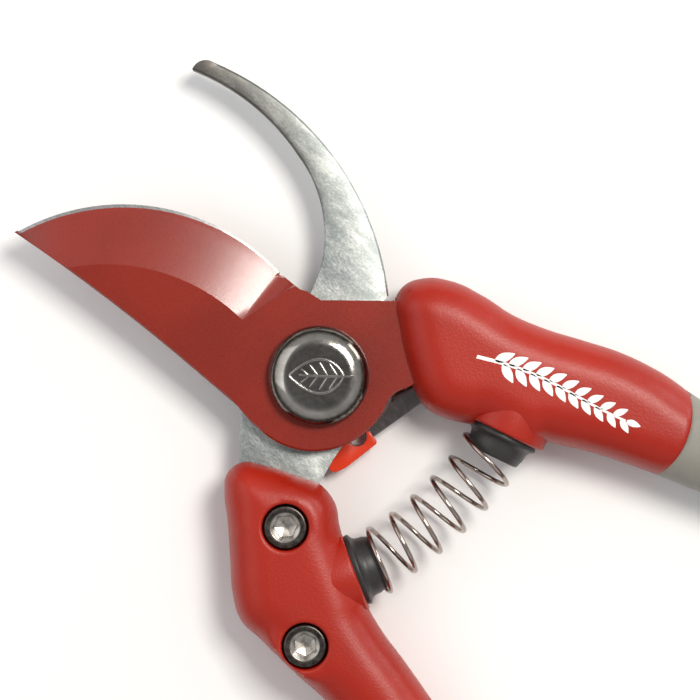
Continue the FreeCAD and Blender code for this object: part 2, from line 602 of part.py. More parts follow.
def make_blade_half():
    blade = make_cutting_blade()
    pin = make_lever_pin()
    washers = make_lever_washers()
    screws = make_screws("blade_handle_screws", BLADE_SCREWS, "sizes.blade_head_low", upwards=False)
    inserts = make_inserts()
    seat = make_seat("blade_spring_seat", BLADE_SEAT)
    core_blank = padded_outline("blade_core_blank", BLADE_CORE_OUTLINE, "sizes.core_low", "sizes.core_thick")
    shank_holes = [cylinder("blade_core_hole_%d" % k, point, "sizes.shank_low", "sizes.screw_radius",
                            "sizes.shank_room") for k, point in enumerate(BLADE_SCREWS)]
    core = cut("blade_handle_core", core_blank, [blade, pin] + shank_holes)
    form = handle_form("blade_handle_form", BLADE_HANDLE_CURVE, BLADE_SEAT)
    region = padded_outline("blade_sleeve_region", BLADE_SLEEVE_OUTLINE, "-1", "sizes.handle_thick + 2")
    bores = [cylinder("blade_counterbore_%d" % k, point, "-1", "sizes.counterbore_radius", "sizes.core_low + 1")
             for k, point in enumerate(BLADE_SCREWS)]
    insert_holes = [cylinder("blade_insert_hole_%d" % k, point, BLADE_TOP, "sizes.insert_radius",
                             "sizes.insert_high") for k, point in enumerate(BLADE_SCREWS)]
    slot = padded_outline("lever_slot", LEVER_SLOT_OUTLINE, "sizes.lever_slot_low", "sizes.lever_slot_high")
    core_room = padded_outline("blade_core_room", BLADE_CORE_OUTLINE, "sizes.core_low", "sizes.core_thick")
    blade_room = padded_outline("blade_room", BLADE_OUTLINE, "sizes.blade_low", "sizes.blade_thick")
    tools = [region, core_room, blade_room, pin, slot, seat] + bores + insert_holes
    cover = cut("blade_handle_cover", form, tools)
    sleeve = cut("blade_grip_sleeve", common("blade_sleeve_blank", form, region), [core_room])
    return [blade, core, cover, sleeve, screws, inserts, seat, pin, washers]


def make_hook_half():
    hook = make_counter_blade()
    screws = make_screws("hook_handle_screws", HOOK_SCREWS, "sizes.hook_head_low", upwards=True)
    nuts = make_tang_nuts()
    seat = make_seat("hook_spring_seat", HOOK_SEAT)
    head_room = [cylinder("hook_counterbore_%d" % k, point, "sizes.hook_head_low", "sizes.counterbore_radius",
                          "sizes.handle_thick") for k, point in enumerate(HOOK_SCREWS)]
    shank_holes = [cylinder("hook_core_hole_%d" % k, point, "sizes.shank_low", "sizes.screw_radius",
                            "sizes.shank_room") for k, point in enumerate(HOOK_SCREWS)]
    core_blank = padded_outline("hook_core_blank", HOOK_CORE_OUTLINE, "sizes.core_low", "sizes.core_thick")
    core = cut("hook_handle_core", core_blank, [hook] + head_room + shank_holes)
    form = handle_form("hook_handle_form", HOOK_HANDLE_CURVE, HOOK_SEAT)
    region = padded_outline("hook_sleeve_region", HOOK_SLEEVE_OUTLINE, "-1", "sizes.handle_thick + 2")
    core_room = padded_outline("hook_core_room", HOOK_CORE_OUTLINE, "sizes.core_low", "sizes.core_thick")
    hook_room = padded_outline("hook_room", HOOK_OUTLINE, "sizes.hook_low", "sizes.hook_thick")
    nut_rooms = []
    for k, point in enumerate(HOOK_SCREWS):
        room = new_body("tang_nut_room_%d" % k)
        outline = new_sketch(room, "tang_nut_room_outline_%d" % k, "-1")
        draw_polygon(outline, point, sheet.nut_flats / math.sqrt(3), 6, turn=TANG_NUT_TURN)
        pad(room, outline, "tang_nut_room_pad_%d" % k, "sizes.hook_low + 1")
        nut_rooms.append(room)
    tools = [region, core_room, hook_room, seat] + head_room + nut_rooms + shank_holes
    cover = cut("hook_handle_cover", form, tools)
    sleeve = cut("hook_grip_sleeve", common("hook_sleeve_blank", form, region), [core_room])
    bush = ring("pivot_bush", (0, 0), "sizes.hook_low", "sizes.bush_outer", "sizes.bolt_radius + sizes.bush_gap",
                "sizes.hook_thick")
    stud = cylinder("lock_stud", lock_stud_place(), "sizes.lock_stud_low", "sizes.lock_stud_radius",
                    "sizes.hook_low + sizes.lock_stud_in - sizes.lock_stud_low")
    return [hook, core, cover, sleeve, screws, nuts, seat, bush, stud]


def make_pivot():
    washer = ring("pivot_washer", (0, 0), BLADE_TOP, "sizes.washer_radius", "sizes.bolt_radius",
                  "sizes.washer_thick")
    return [make_pivot_bolt(), make_pivot_nut(), washer, make_spring_washer()]


def make_lock():
    lever = make_lever()
    return [lever, make_thumb_pad(lever)]


def write_parts(parts):
    doc.recompute()
    failed = [obj.Label for obj in doc.Objects if "Invalid" in obj.State or "Error" in obj.State]
    if failed:
        raise RuntimeError("failed: " + ", ".join(failed))
    os.makedirs("parts", exist_ok=True)
    for part in parts:
        shape = part.Shape
        if shape.isNull() or not shape.isValid():
            raise RuntimeError("bad shape: " + part.Label)
        shape.exportStep("parts/%s.step" % part.Label)
        print("%-24s solids %d  volume %9.2f" % (part.Label, len(shape.Solids), shape.Volume))


write_parts(make_blade_half() + make_hook_half() + make_pivot() + make_lock() + [make_spring()])
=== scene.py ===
import json
import math

import bmesh
import bpy
import numpy as np
from mathutils import Matrix, Vector
from mathutils.bvhtree import BVHTree
from mathutils.geometry import delaunay_2d_cdt


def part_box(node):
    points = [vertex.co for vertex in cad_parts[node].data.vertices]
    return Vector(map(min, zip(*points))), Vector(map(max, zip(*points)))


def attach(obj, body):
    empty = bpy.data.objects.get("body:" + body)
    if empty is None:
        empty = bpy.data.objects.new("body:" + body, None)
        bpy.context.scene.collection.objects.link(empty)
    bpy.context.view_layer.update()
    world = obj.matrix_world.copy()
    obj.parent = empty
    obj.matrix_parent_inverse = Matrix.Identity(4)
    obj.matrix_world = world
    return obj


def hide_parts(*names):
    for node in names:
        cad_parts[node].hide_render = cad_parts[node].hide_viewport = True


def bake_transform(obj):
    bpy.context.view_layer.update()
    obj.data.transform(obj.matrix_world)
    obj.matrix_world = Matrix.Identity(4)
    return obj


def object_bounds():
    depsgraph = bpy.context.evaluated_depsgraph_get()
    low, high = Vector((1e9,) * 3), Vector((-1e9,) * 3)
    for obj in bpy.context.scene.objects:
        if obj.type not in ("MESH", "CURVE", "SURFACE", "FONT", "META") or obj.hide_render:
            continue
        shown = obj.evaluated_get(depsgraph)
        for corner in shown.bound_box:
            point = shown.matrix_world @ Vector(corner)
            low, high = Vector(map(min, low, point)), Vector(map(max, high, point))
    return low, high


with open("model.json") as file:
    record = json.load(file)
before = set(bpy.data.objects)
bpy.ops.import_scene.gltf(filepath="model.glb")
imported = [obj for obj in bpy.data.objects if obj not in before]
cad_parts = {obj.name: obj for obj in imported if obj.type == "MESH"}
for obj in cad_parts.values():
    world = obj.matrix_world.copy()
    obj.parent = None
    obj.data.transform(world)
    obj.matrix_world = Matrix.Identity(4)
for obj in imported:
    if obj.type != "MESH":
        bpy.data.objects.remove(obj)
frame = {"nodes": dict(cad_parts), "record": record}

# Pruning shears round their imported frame: the swelling handles, the turned and wound pieces, the blades with
# their corners softened, and every material.
# Metres, +Z towards the head of the pivot bolt, +X towards the blade tips.

CAD_LOW, CAD_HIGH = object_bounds()
MM = 0.001
HANDLE_TOP = CAD_HIGH.z
HANDLE_LOW = CAD_LOW.z
HANDLE_MIDDLE = (HANDLE_TOP + HANDLE_LOW) / 2
PRINT_ROOM = 0.06 * MM  # the handles' faces lie this far in, to leave room for the ink
HALF_THICK = (HANDLE_TOP - HANDLE_LOW) / 2 - PRINT_ROOM
CAD_WELD = 2e-6  # corners of a CAD mesh closer than this are one corner


def new_object(name, data):
    made = bpy.data.objects.new(name, data)
    bpy.context.scene.collection.objects.link(made)
    return made


# ---- node materials

def new_material(name):
    """An empty node material, and its shader."""
    material = bpy.data.materials.new(name)
    material.use_nodes = True
    nodes = material.node_tree.nodes
    nodes.clear()
    output = nodes.new("ShaderNodeOutputMaterial")
    shader = nodes.new("ShaderNodeBsdfPrincipled")
    material.node_tree.links.new(shader.outputs[0], output.inputs[0])
    return material, shader


def add(material, kind, **inputs):
    """A node with its sockets set: a plain value is stored, a socket is linked."""
    node = material.node_tree.nodes.new(kind)
    for name, value in inputs.items():
        put(material, node.inputs[name.replace("_", " ")], value)
    return node


def put(material, socket, value):
    """Store a plain value in a socket, or link another socket to it."""
    if isinstance(value, bpy.types.NodeSocket):
        material.node_tree.links.new(value, socket)
    else:
        socket.default_value = value


def place_of(material, scale=1.0, stretch=(1, 1, 1), turn=0.0):
    """The point on the piece, scaled and stretched, so that a pattern stays with it as it moves."""
    where = add(material, "ShaderNodeTexCoord").outputs["Object"]
    mapping = add(material, "ShaderNodeMapping", Vector=where)
    mapping.inputs["Scale"].default_value = [scale * share for share in stretch]
    mapping.inputs["Rotation"].default_value = (0, 0, turn)
    return mapping.outputs[0]


def noise(material, where, scale, detail=4.0, rough=0.55):
    """Cloudy noise from 0 to 1."""
    node = add(material, "ShaderNodeTexNoise", Vector=where, Scale=scale, Detail=detail, Roughness=rough)
    return node.outputs["Fac"]


def cells(material, where, scale):
    """Distance to the middle of the nearest of many cells."""
    node = add(material, "ShaderNodeTexVoronoi", Vector=where, Scale=scale)
    return node.outputs["Distance"]


def ramp(material, value, stops):
    """A colour ramp through (place, colour) stops; a colour may be a grey number."""
    node = add(material, "ShaderNodeValToRGB", Fac=value)
    elements = node.color_ramp.elements
    while len(elements) < len(stops):
        elements.new(0.5)
    for element, (place, colour) in zip(elements, stops):
        parts = (colour,) * 3 if isinstance(colour, float) else tuple(colour)
        element.position = place
        element.color = parts + (1,)
    return node.outputs["Color"]


def mix(material, share, first, second):
    """The first colour, going over to the second as the share goes from 0 to 1."""
    node = material.node_tree.nodes.new("ShaderNodeMix")
    node.data_type = "RGBA"
    put(material, node.inputs["Factor"], share)
    for name, colour in (("A", first), ("B", second)):
        linked = isinstance(colour, bpy.types.NodeSocket)
        put(material, node.inputs[name], colour if linked else tuple(colour) + (1,))
    return node.outputs["Result"]


def maths(material, operation, first, second=0.0, third=0.0):
    node = material.node_tree.nodes.new("ShaderNodeMath")
    node.operation = operation
    for socket, value in zip(node.inputs, (first, second, third)):
        put(material, socket, value)
    return node.outputs[0]


def ranged(material, value, low, high, to_low, to_high):
    """The value carried from one range to another, and held at its ends."""
    node = add(material, "ShaderNodeMapRange", Value=value)
    for name, number in zip(("From Min", "From Max", "To Min", "To Max"), (low, high, to_low, to_high)):
        node.inputs[name].default_value = number
    return node.outputs["Result"]


def bump(material, shader, layers):
    """Stack (height, strength, depth in metres) layers into the shader's normal."""
    normal = None
    for height, strength, depth in layers:
        node = add(material, "ShaderNodeBump", Height=height, Strength=strength, Distance=depth)
        if normal is not None:
            put(material, node.inputs["Normal"], normal)
        normal = node.outputs["Normal"]
    put(material, shader.inputs["Normal"], normal)


def set_shader(material, shader, **inputs):
    for name, value in inputs.items():
        put(material, shader.inputs[name.replace("_", " ")], value)


def axis_part(material, axis):
    """One coordinate of the point on the piece."""
    where = add(material, "ShaderNodeTexCoord").outputs["Object"]
    return add(material, "ShaderNodeSeparateXYZ", Vector=where).outputs[axis]


def radius_about(material, centre):
    """The distance in plan from a point of the piece."""
    across = maths(material, "SUBTRACT", axis_part(material, "X"), centre.x)
    along = maths(material, "SUBTRACT", axis_part(material, "Y"), centre.y)
    square = maths(material, "ADD", maths(material, "MULTIPLY", across, across),
                   maths(material, "MULTIPLY", along, along))
    return maths(material, "SQRT", square)


def circle_through(first, second, third):
    """Centre and radius of the circle through three points in plan."""
    a, b = second - first, third - first
    cross = 2 * a.cross(b)
    centre = Vector((b.y * a.length_squared - a.y * b.length_squared,
                     a.x * b.length_squared - b.x * a.length_squared)) / cross
    return first + centre, centre.length


HOOK_INNER_ARC = [(57.8, -30.1), (42.9, -32.4), (20.2, -25.1)]  # mm, from the tip to the root
EDGE_CENTRE = Vector((23.87, 31.60)) * MM  # the cutting edge is an arc about this point
EDGE_RADIUS = 42.43 * MM
LAND_PLACES = 18 * MM, 56 * MM  # the bare land widens from the heel to the tip
LAND_WIDTHS = 0.30 * MM, 0.62 * MM
AXIS = Vector((0.0, 0.0))  # of the bolt and of each screw, in its own piece
LAND_TOP = 10.5 * MM  # the land lies below this level


def bare_land(material, place):
    """Whether a point lies in the strip along the cutting edge where grinding has taken the coating off."""
    ragged = maths(material, "MULTIPLY_ADD", noise(material, place, 900.0, 2.0), 0.12 * MM,
                   radius_about(material, EDGE_CENTRE))
    wide = ranged(material, axis_part(material, "X"), *LAND_PLACES, *LAND_WIDTHS)
    beyond = maths(material, "SUBTRACT", maths(material, "ADD", ragged, wide), EDGE_RADIUS)
    land = ranged(material, beyond, 0.05 * MM, 0.17 * MM, 0.0, 1.0)
    low = ranged(material, axis_part(material, "Z"), LAND_TOP - 0.05 * MM, LAND_TOP + 0.05 * MM, 1.0, 0.0)
    heel = LAND_PLACES[0]
    ahead = ranged(material, axis_part(material, "X"), heel - 0.5 * MM, heel + 0.5 * MM, 0.0, 1.0)
    return maths(material, "MULTIPLY", maths(material, "MULTIPLY", land, low), ahead)


def blade_coat():
    """Sprayed red coating with fine orange peel, ground off along the cutting edge."""
    material, shader = new_material("blade_coat")
    place = place_of(material)
    paint = ramp(material, noise(material, place, 60.0, 3.0),
                 [(0.35, (0.195, 0.0090, 0.0012)), (0.62, (0.235, 0.0115, 0.0018))])
    grain = noise(material, place, 2600.0, 2.0)
    bare = bare_land(material, place)
    scratches = noise(material, place_of(material, 1.0, (60, 2500, 60), 0.6), 1.0, 3.0)
    steel = ramp(material, scratches, [(0.3, 0.30), (0.7, 0.50)])
    put(material, shader.inputs["Base Color"], mix(material, bare, paint, steel))
    put(material, shader.inputs["Metallic"], bare)
    put(material, shader.inputs["Roughness"], ranged(material, grain, 0.3, 0.7, 0.26, 0.34))
    set_shader(material, shader, Specular_IOR_Level=0.40, Coat_Weight=1.0, Coat_Roughness=0.19)
    bump(material, shader, [(grain, 0.35, 0.00004), (noise(material, place, 700.0, 3.0), 0.25, 0.00005)])
    return material


def hook_steel():
    """Bright ground steel: soft pale patches, fine flecks and strokes, painted shade along the inner edge, and
    a darker tip.
    """
    material, shader = new_material("hook_steel")
    place = place_of(material)
    patches = noise(material, place_of(material, 1.0, (150, 360, 150), 0.3), 1.0, 7.0, 0.66)
    flecks = noise(material, place_of(material, 1.0, (1500, 3600, 1500), 0.5), 1.0, 4.0, 0.7)
    lines = noise(material, place_of(material, 1.0, (140, 4200, 140), 0.72), 1.0, 4.0, 0.7)
    both = maths(material, "MULTIPLY_ADD", patches, 0.58, maths(material, "MULTIPLY", flecks, 0.42))
    colour = ramp(material, both, [(0.40, (0.27, 0.30, 0.30)), (0.50, (0.38, 0.41, 0.40)),
                                   (0.61, (0.62, 0.635, 0.615))])
    # Painted shade along the inner edge, standing for a dark reflection off a rounded edge, and a darker tip,
    # mixed over the steel's colour.
    edge_shade_and_tip = painted_edge_shade_and_dark_tip(material)
    put(material, shader.inputs["Base Color"], mix(material, edge_shade_and_tip, colour, (0.085, 0.070, 0.058)))
    set_shader(material, shader, Metallic=1.0)
    put(material, shader.inputs["Roughness"], ranged(material, flecks, 0.3, 0.7, 0.34, 0.50))
    bump(material, shader, [(lines, 0.30, 0.00003), (flecks, 0.30, 0.00004)])
    return material


def painted_edge_shade_and_dark_tip(material):
    """How dark the hook is drawn: painted shade along its inner edge, standing for a rounded edge's dark
    reflection, fading out towards the pivot, and darker towards its tip.
    """
    centre, radius = circle_through(*[Vector(point) * MM for point in HOOK_INNER_ARC])
    ragged = maths(material, "MULTIPLY_ADD", noise(material, place_of(material), 420.0, 3.0), -1.0 * MM,
                   radius_about(material, centre))
    close = ranged(material, ragged, radius - 0.5 * MM, radius + 1.5 * MM, 0.90, 0.0)
    ahead = ranged(material, axis_part(material, "X"), 17 * MM, 30 * MM, 0.0, 1.0)
    tip = ranged(material, axis_part(material, "X"), 22 * MM, 56 * MM, 0.0, 0.84)
    return maths(material, "MAXIMUM", maths(material, "MULTIPLY", close, ahead), tip)


WORN_TONE = 0.86  # how much darker worn plating is


def polished(name, colour, rough, spread=0.06, scratch=0.08):
    """Bright plated or polished metal with faint wear."""
    material, shader = new_material(name)
    place = place_of(material)
    wear = noise(material, place, 1100.0, 5.0, 0.6)
    lines = noise(material, place_of(material, 1.0, (300, 2600, 300), 0.9), 1.0, 3.0)
    darker = tuple(WORN_TONE * part for part in colour)
    put(material, shader.inputs["Base Color"], ramp(material, wear, [(0.3, darker), (0.6, colour)]))
    set_shader(material, shader, Metallic=1.0)
    put(material, shader.inputs["Roughness"], ranged(material, wear, 0.3, 0.75, rough, rough + spread))
    bump(material, shader, [(lines, scratch, 0.00002)])
    return material


def moulded(name, dark, light, rough, grain_scale, grain_depth, sheen=0.0):
    """Moulded plastic or rubber: a fine spark-eroded grain and a slight drift of colour."""
    material, shader = new_material(name)
    place = place_of(material)
    drift = noise(material, place, 45.0, 3.0)
    put(material, shader.inputs["Base Color"], ramp(material, drift, [(0.35, dark), (0.65, light)]))
    grain = cells(material, place, grain_scale)
    fine = noise(material, place, grain_scale * 1.7, 3.0)
    put(material, shader.inputs["Roughness"], ranged(material, fine, 0.3, 0.7, rough - 0.05, rough + 0.07))
    set_shader(material, shader, Specular_IOR_Level=0.42, Sheen_Weight=sheen)
    bump(material, shader, [(grain, 0.30, grain_depth), (fine, 0.25, grain_depth * 0.6)])
    return material


def print_white():
    """Screen-printed white ink, slightly thin in places so that the grain below shows."""
    material, shader = new_material("print_white")
    place = place_of(material)
    thin = noise(material, place, 900.0, 4.0)
    ink = ramp(material, thin, [(0.30, (0.72, 0.66, 0.63)), (0.46, (0.84, 0.83, 0.81))])
    put(material, shader.inputs["Base Color"], ink)
    put(material, shader.inputs["Roughness"], ranged(material, thin, 0.3, 0.7, 0.42, 0.58))
    bump(material, shader, [(noise(material, place, 3000.0, 2.0), 0.2, 0.00002)])
    return material


def bolt_chrome():
    """Polished plating, fine-scratched on top, with painted shade round the shoulder standing for a dark
    reflection.
    """
    material, shader = new_material("bolt_chrome")
    place = place_of(material)
    wear = noise(material, place, 1300.0, 5.0, 0.6)
    cloud = noise(material, place, 260.0, 4.0)
    lines = noise(material, place_of(material, 1.0, (500, 3600, 500), 0.9), 1.0, 3.0)
    face = ramp(material, cloud, [(0.34, (0.34, 0.32, 0.295)), (0.66, (0.50, 0.48, 0.45))])
    # Painted shade: a dark colour drawn round the head's shoulder, standing for a reflection of dark
    # surroundings.
    dark = ramp(material, wear, [(0.3, (0.10, 0.088, 0.076)), (0.7, (0.21, 0.19, 0.17))])
    painted_shoulder_shade = ranged(material, radius_about(material, AXIS), 7.1 * MM, 8.5 * MM, 0.0, 1.0)
    put(material, shader.inputs["Base Color"], mix(material, painted_shoulder_shade, face, dark))
    set_shader(material, shader, Metallic=1.0)
    put(material, shader.inputs["Roughness"], ranged(material, wear, 0.3, 0.75, 0.10, 0.19))
    bump(material, shader, [(lines, 0.10, 0.00002), (wear, 0.08, 0.00002)])
    return material


def dark_screw():
    """Blackened cap screws with a painted highlight: their sockets and socket rims are drawn as lighter steel.
    """
    material, shader = new_material("dark_screw")
    place = place_of(material)
    wear = noise(material, place, 700.0, 5.0, 0.6)
    ragged = maths(material, "MULTIPLY_ADD", wear, 0.5 * MM, radius_about(material, AXIS))
    # Painted highlight: the socket and its rim are drawn as lighter steel, as though catching the light.
    painted_socket_glint = ranged(material, ragged, 2.85 * MM, 3.25 * MM, 1.0, 0.0)
    black = ramp(material, wear, [(0.3, (0.045, 0.040, 0.037)), (0.7, (0.11, 0.098, 0.09))])
    steel = ramp(material, wear, [(0.3, (0.36, 0.33, 0.30)), (0.7, (0.60, 0.57, 0.52))])
    put(material, shader.inputs["Base Color"], mix(material, painted_socket_glint, black, steel))
    set_shader(material, shader, Metallic=1.0)
    put(material, shader.inputs["Roughness"], ranged(material, wear, 0.3, 0.7, 0.24, 0.42))
    bump(material, shader, [(wear, 0.2, 0.00004)])
    return material


MATERIALS = {
    "blade_coat": blade_coat(),
    "hook_steel": hook_steel(),
    "bolt_chrome": bolt_chrome(),
    "dark_screw": dark_screw(),
    "plain_steel": polished("plain_steel", (0.55, 0.56, 0.57), 0.26, 0.12, 0.12),
    "spring_wire": polished("spring_wire", (0.42, 0.35, 0.31), 0.13, 0.08, 0.05),
    "print_white": print_white(),
    "core_metal": polished("core_metal", (0.56, 0.57, 0.58), 0.45, 0.15, 0.1),
    "bush_bronze": polished("bush_bronze", (0.62, 0.43, 0.22), 0.32, 0.12, 0.1),
    # Painted shade and painted reflection: the lever's steel is given a darker, browner colour, for the shade
    # under the blade and the red parts reflected in it.
    "lever_steel": polished("lever_steel", (0.36, 0.32, 0.31), 0.12, 0.1, 0.1),
    "cover_red": moulded("cover_red", (0.310, 0.0095, 0.0012), (0.360, 0.0125, 0.0020),
                         0.40, 2300.0, 0.00006),
    "grip_grey": moulded("grip_grey", (0.235, 0.225, 0.195), (0.275, 0.262, 0.232),
                         0.62, 1900.0, 0.00008, 0.1),
    "seat_black": moulded("seat_black", (0.020, 0.020, 0.020), (0.032, 0.031, 0.030),
                          0.42, 1500.0, 0.00004),
    "thumb_orange": moulded("thumb_orange", (0.66, 0.035, 0.006), (0.72, 0.042, 0.008),
                            0.30, 2600.0, 0.00003),
}


def dress_cad_nodes():
    """Give each CAD node the material of its slot in the record."""
    slot_of = {row["node"]: row["material_slot"] for row in frame["record"]["subparts"]}
    for name, node in frame["nodes"].items():
        node.data.materials.clear()
        node.data.materials.append(MATERIALS[slot_of[name]])


# ---- handle forms

STEP = 0.65 * MM  # spacing of points along an outline
GRID = 1.3 * MM  # spacing of points across a face
RIM_DEPTHS = [0.004, 0.03, 0.11, 0.26, 0.48, 0.78, 1.2, 1.75, 2.45]  # rings inside the outline, mm
RIM_GAP = 0.9  # from the last ring to the face's own points, mm
RECESS_SPREADS = (0.12, 0.32, 0.62, 1.0)  # rings outside a recess, mm
RECESS_GAP = 1.5 * MM
SWELL_REACH = 8.0 * MM  # how far in from the outline the surface still rises
SWELL_POWER = 2.35
BOSS_RADIUS = 5.2 * MM  # round a screw the surface stands up to the screw's face
BOSS_FADE = 4.2 * MM
BOSS_RIM = 2.0 * MM  # how far in from the outline it reaches that height
RIM_ROUND = 0.62 * MM  # radius of a recess's rim
SEAM_WIDE = 0.38 * MM
SEAM_DEEP = 0.30 * MM
SEAM_FADE = 0.8 * MM  # the seam's groove is shallower this near to the outline
ON_JOINT = 0.12 * MM  # nearer than this to the other piece is on the joint
SECTION_LEVEL = 13.4 * MM  # a level where a handle's solid has only its outer wall
SECTION_WELD = 1e-7
TRIANGLE_ROW = 0.866  # height of an equilateral triangle of side one
IN_MM = 1000


def section_loop(node_name, level):
    """The longest closed line that a level plane cuts from a CAD node, from its point of least X."""
    mesh = bmesh.new()
    mesh.from_mesh(frame["nodes"][node_name].data)
    bmesh.ops.remove_doubles(mesh, verts=mesh.verts, dist=SECTION_WELD)
    everything = mesh.verts[:] + mesh.edges[:] + mesh.faces[:]
    found = bmesh.ops.bisect_plane(mesh, geom=everything, plane_co=(0, 0, level), plane_no=(0, 0, 1))
    left = dict.fromkeys(piece for piece in found["geom_cut"] if isinstance(piece, bmesh.types.BMEdge))
    loops = []
    while left:
        edge, _ = left.popitem()
        loop, here = [edge.verts[0]], edge.verts[1]
        while here != loop[0]:
            loop.append(here)
            following = [other for other in here.link_edges if other in left]
            if not following:
                break
            del left[following[0]]
            here = following[0].other_vert(here)
        loops.append([vertex.co.xy.copy() for vertex in loop])
    mesh.free()
    longest = max(loops, key=lambda points: sum((a - b).length for a, b in zip(points, points[1:])))
    first = longest.index(min(longest, key=lambda point: (point.x, point.y)))
    return longest[first:] + longest[:first]


def even_points(points, step, closed):
    """The same line with points at an even spacing."""
    line = points + points[:1] if closed else points
    lengths = [(b - a).length for a, b in zip(line, line[1:])]
    count = max(3, round(sum(lengths) / step))
    spacing = sum(lengths) / count
    made, walked, k = [line[0].copy()], 0.0, 0
    for number in range(1, count):
        target = number * spacing
        while walked + lengths[k] < target:
            walked += lengths[k]
            k += 1
        made.append(line[k].lerp(line[k + 1], (target - walked) / lengths[k]))
    return made if closed else made + [line[-1].copy()]


def distances(points, line):
    """Each point's distance to a polyline, by numpy."""
    here = np.array([(p.x, p.y) for p in points])[:, None, :]
    starts = np.array([(p.x, p.y) for p in line[:-1]])[None]
    spans = np.array([(b.x - a.x, b.y - a.y) for a, b in zip(line, line[1:])])[None]
    share = ((here - starts) * spans).sum(2) / np.maximum((spans ** 2).sum(2), 1e-18)
    nearest = starts + spans * np.clip(share, 0, 1)[..., None]
    return np.sqrt(((here - nearest) ** 2).sum(2)).min(1)


def inside_on_left(points):
    """The loop, turned so that its inside is on the left."""
    area = sum(a.cross(b) for a, b in zip(points, points[1:] + points[:1]))
    return points if area > 0 else points[::-1]


def swell(depth, reach=SWELL_REACH):
    """Half the handle's thickness at a distance in from its outline."""
    share = np.clip(1 - depth / reach, 0, 1)
    return HALF_THICK * np.power(1 - np.power(share, SWELL_POWER), 1 / SWELL_POWER)


class Recess:
    """A hole in a handle's top or bottom: its rim, its floor's level, and how high its rim stands."""

    def __init__(self, centre, outline, floor, on_top, rim_rise):
        self.centre, self.outline, self.floor, self.on_top = centre, outline, floor, on_top
        self.rim_rise = rim_rise

    def ring(self, spread):
        """The rim, or a line at a distance outside it."""
        return [self.centre + offset * (1 + spread / offset.length) for offset in self.outline]


def around(angle):
    return Vector((math.cos(angle), math.sin(angle)))


def circle_offsets(radius, count=48):
    return [around(math.tau * k / count) * radius for k in range(count)]


def hexagon_offsets(inner_radius, turn, per_side=6):
    corners = [around(turn + math.tau * k / 6) * inner_radius / TRIANGLE_ROW for k in range(6)]
    return [corners[k].lerp(corners[(k + 1) % 6], j / per_side) for k in range(6) for j in range(per_side)]


def inside(point, loop):
    """Whether a loop goes round a point."""
    crossings = 0
    for a, b in zip(loop, loop[1:] + loop[:1]):
        if (a.y > point.y) != (b.y > point.y):
            crossings += point.x < a.x + (point.y - a.y) / (b.y - a.y) * (b.x - a.x)
    return crossings % 2 == 1


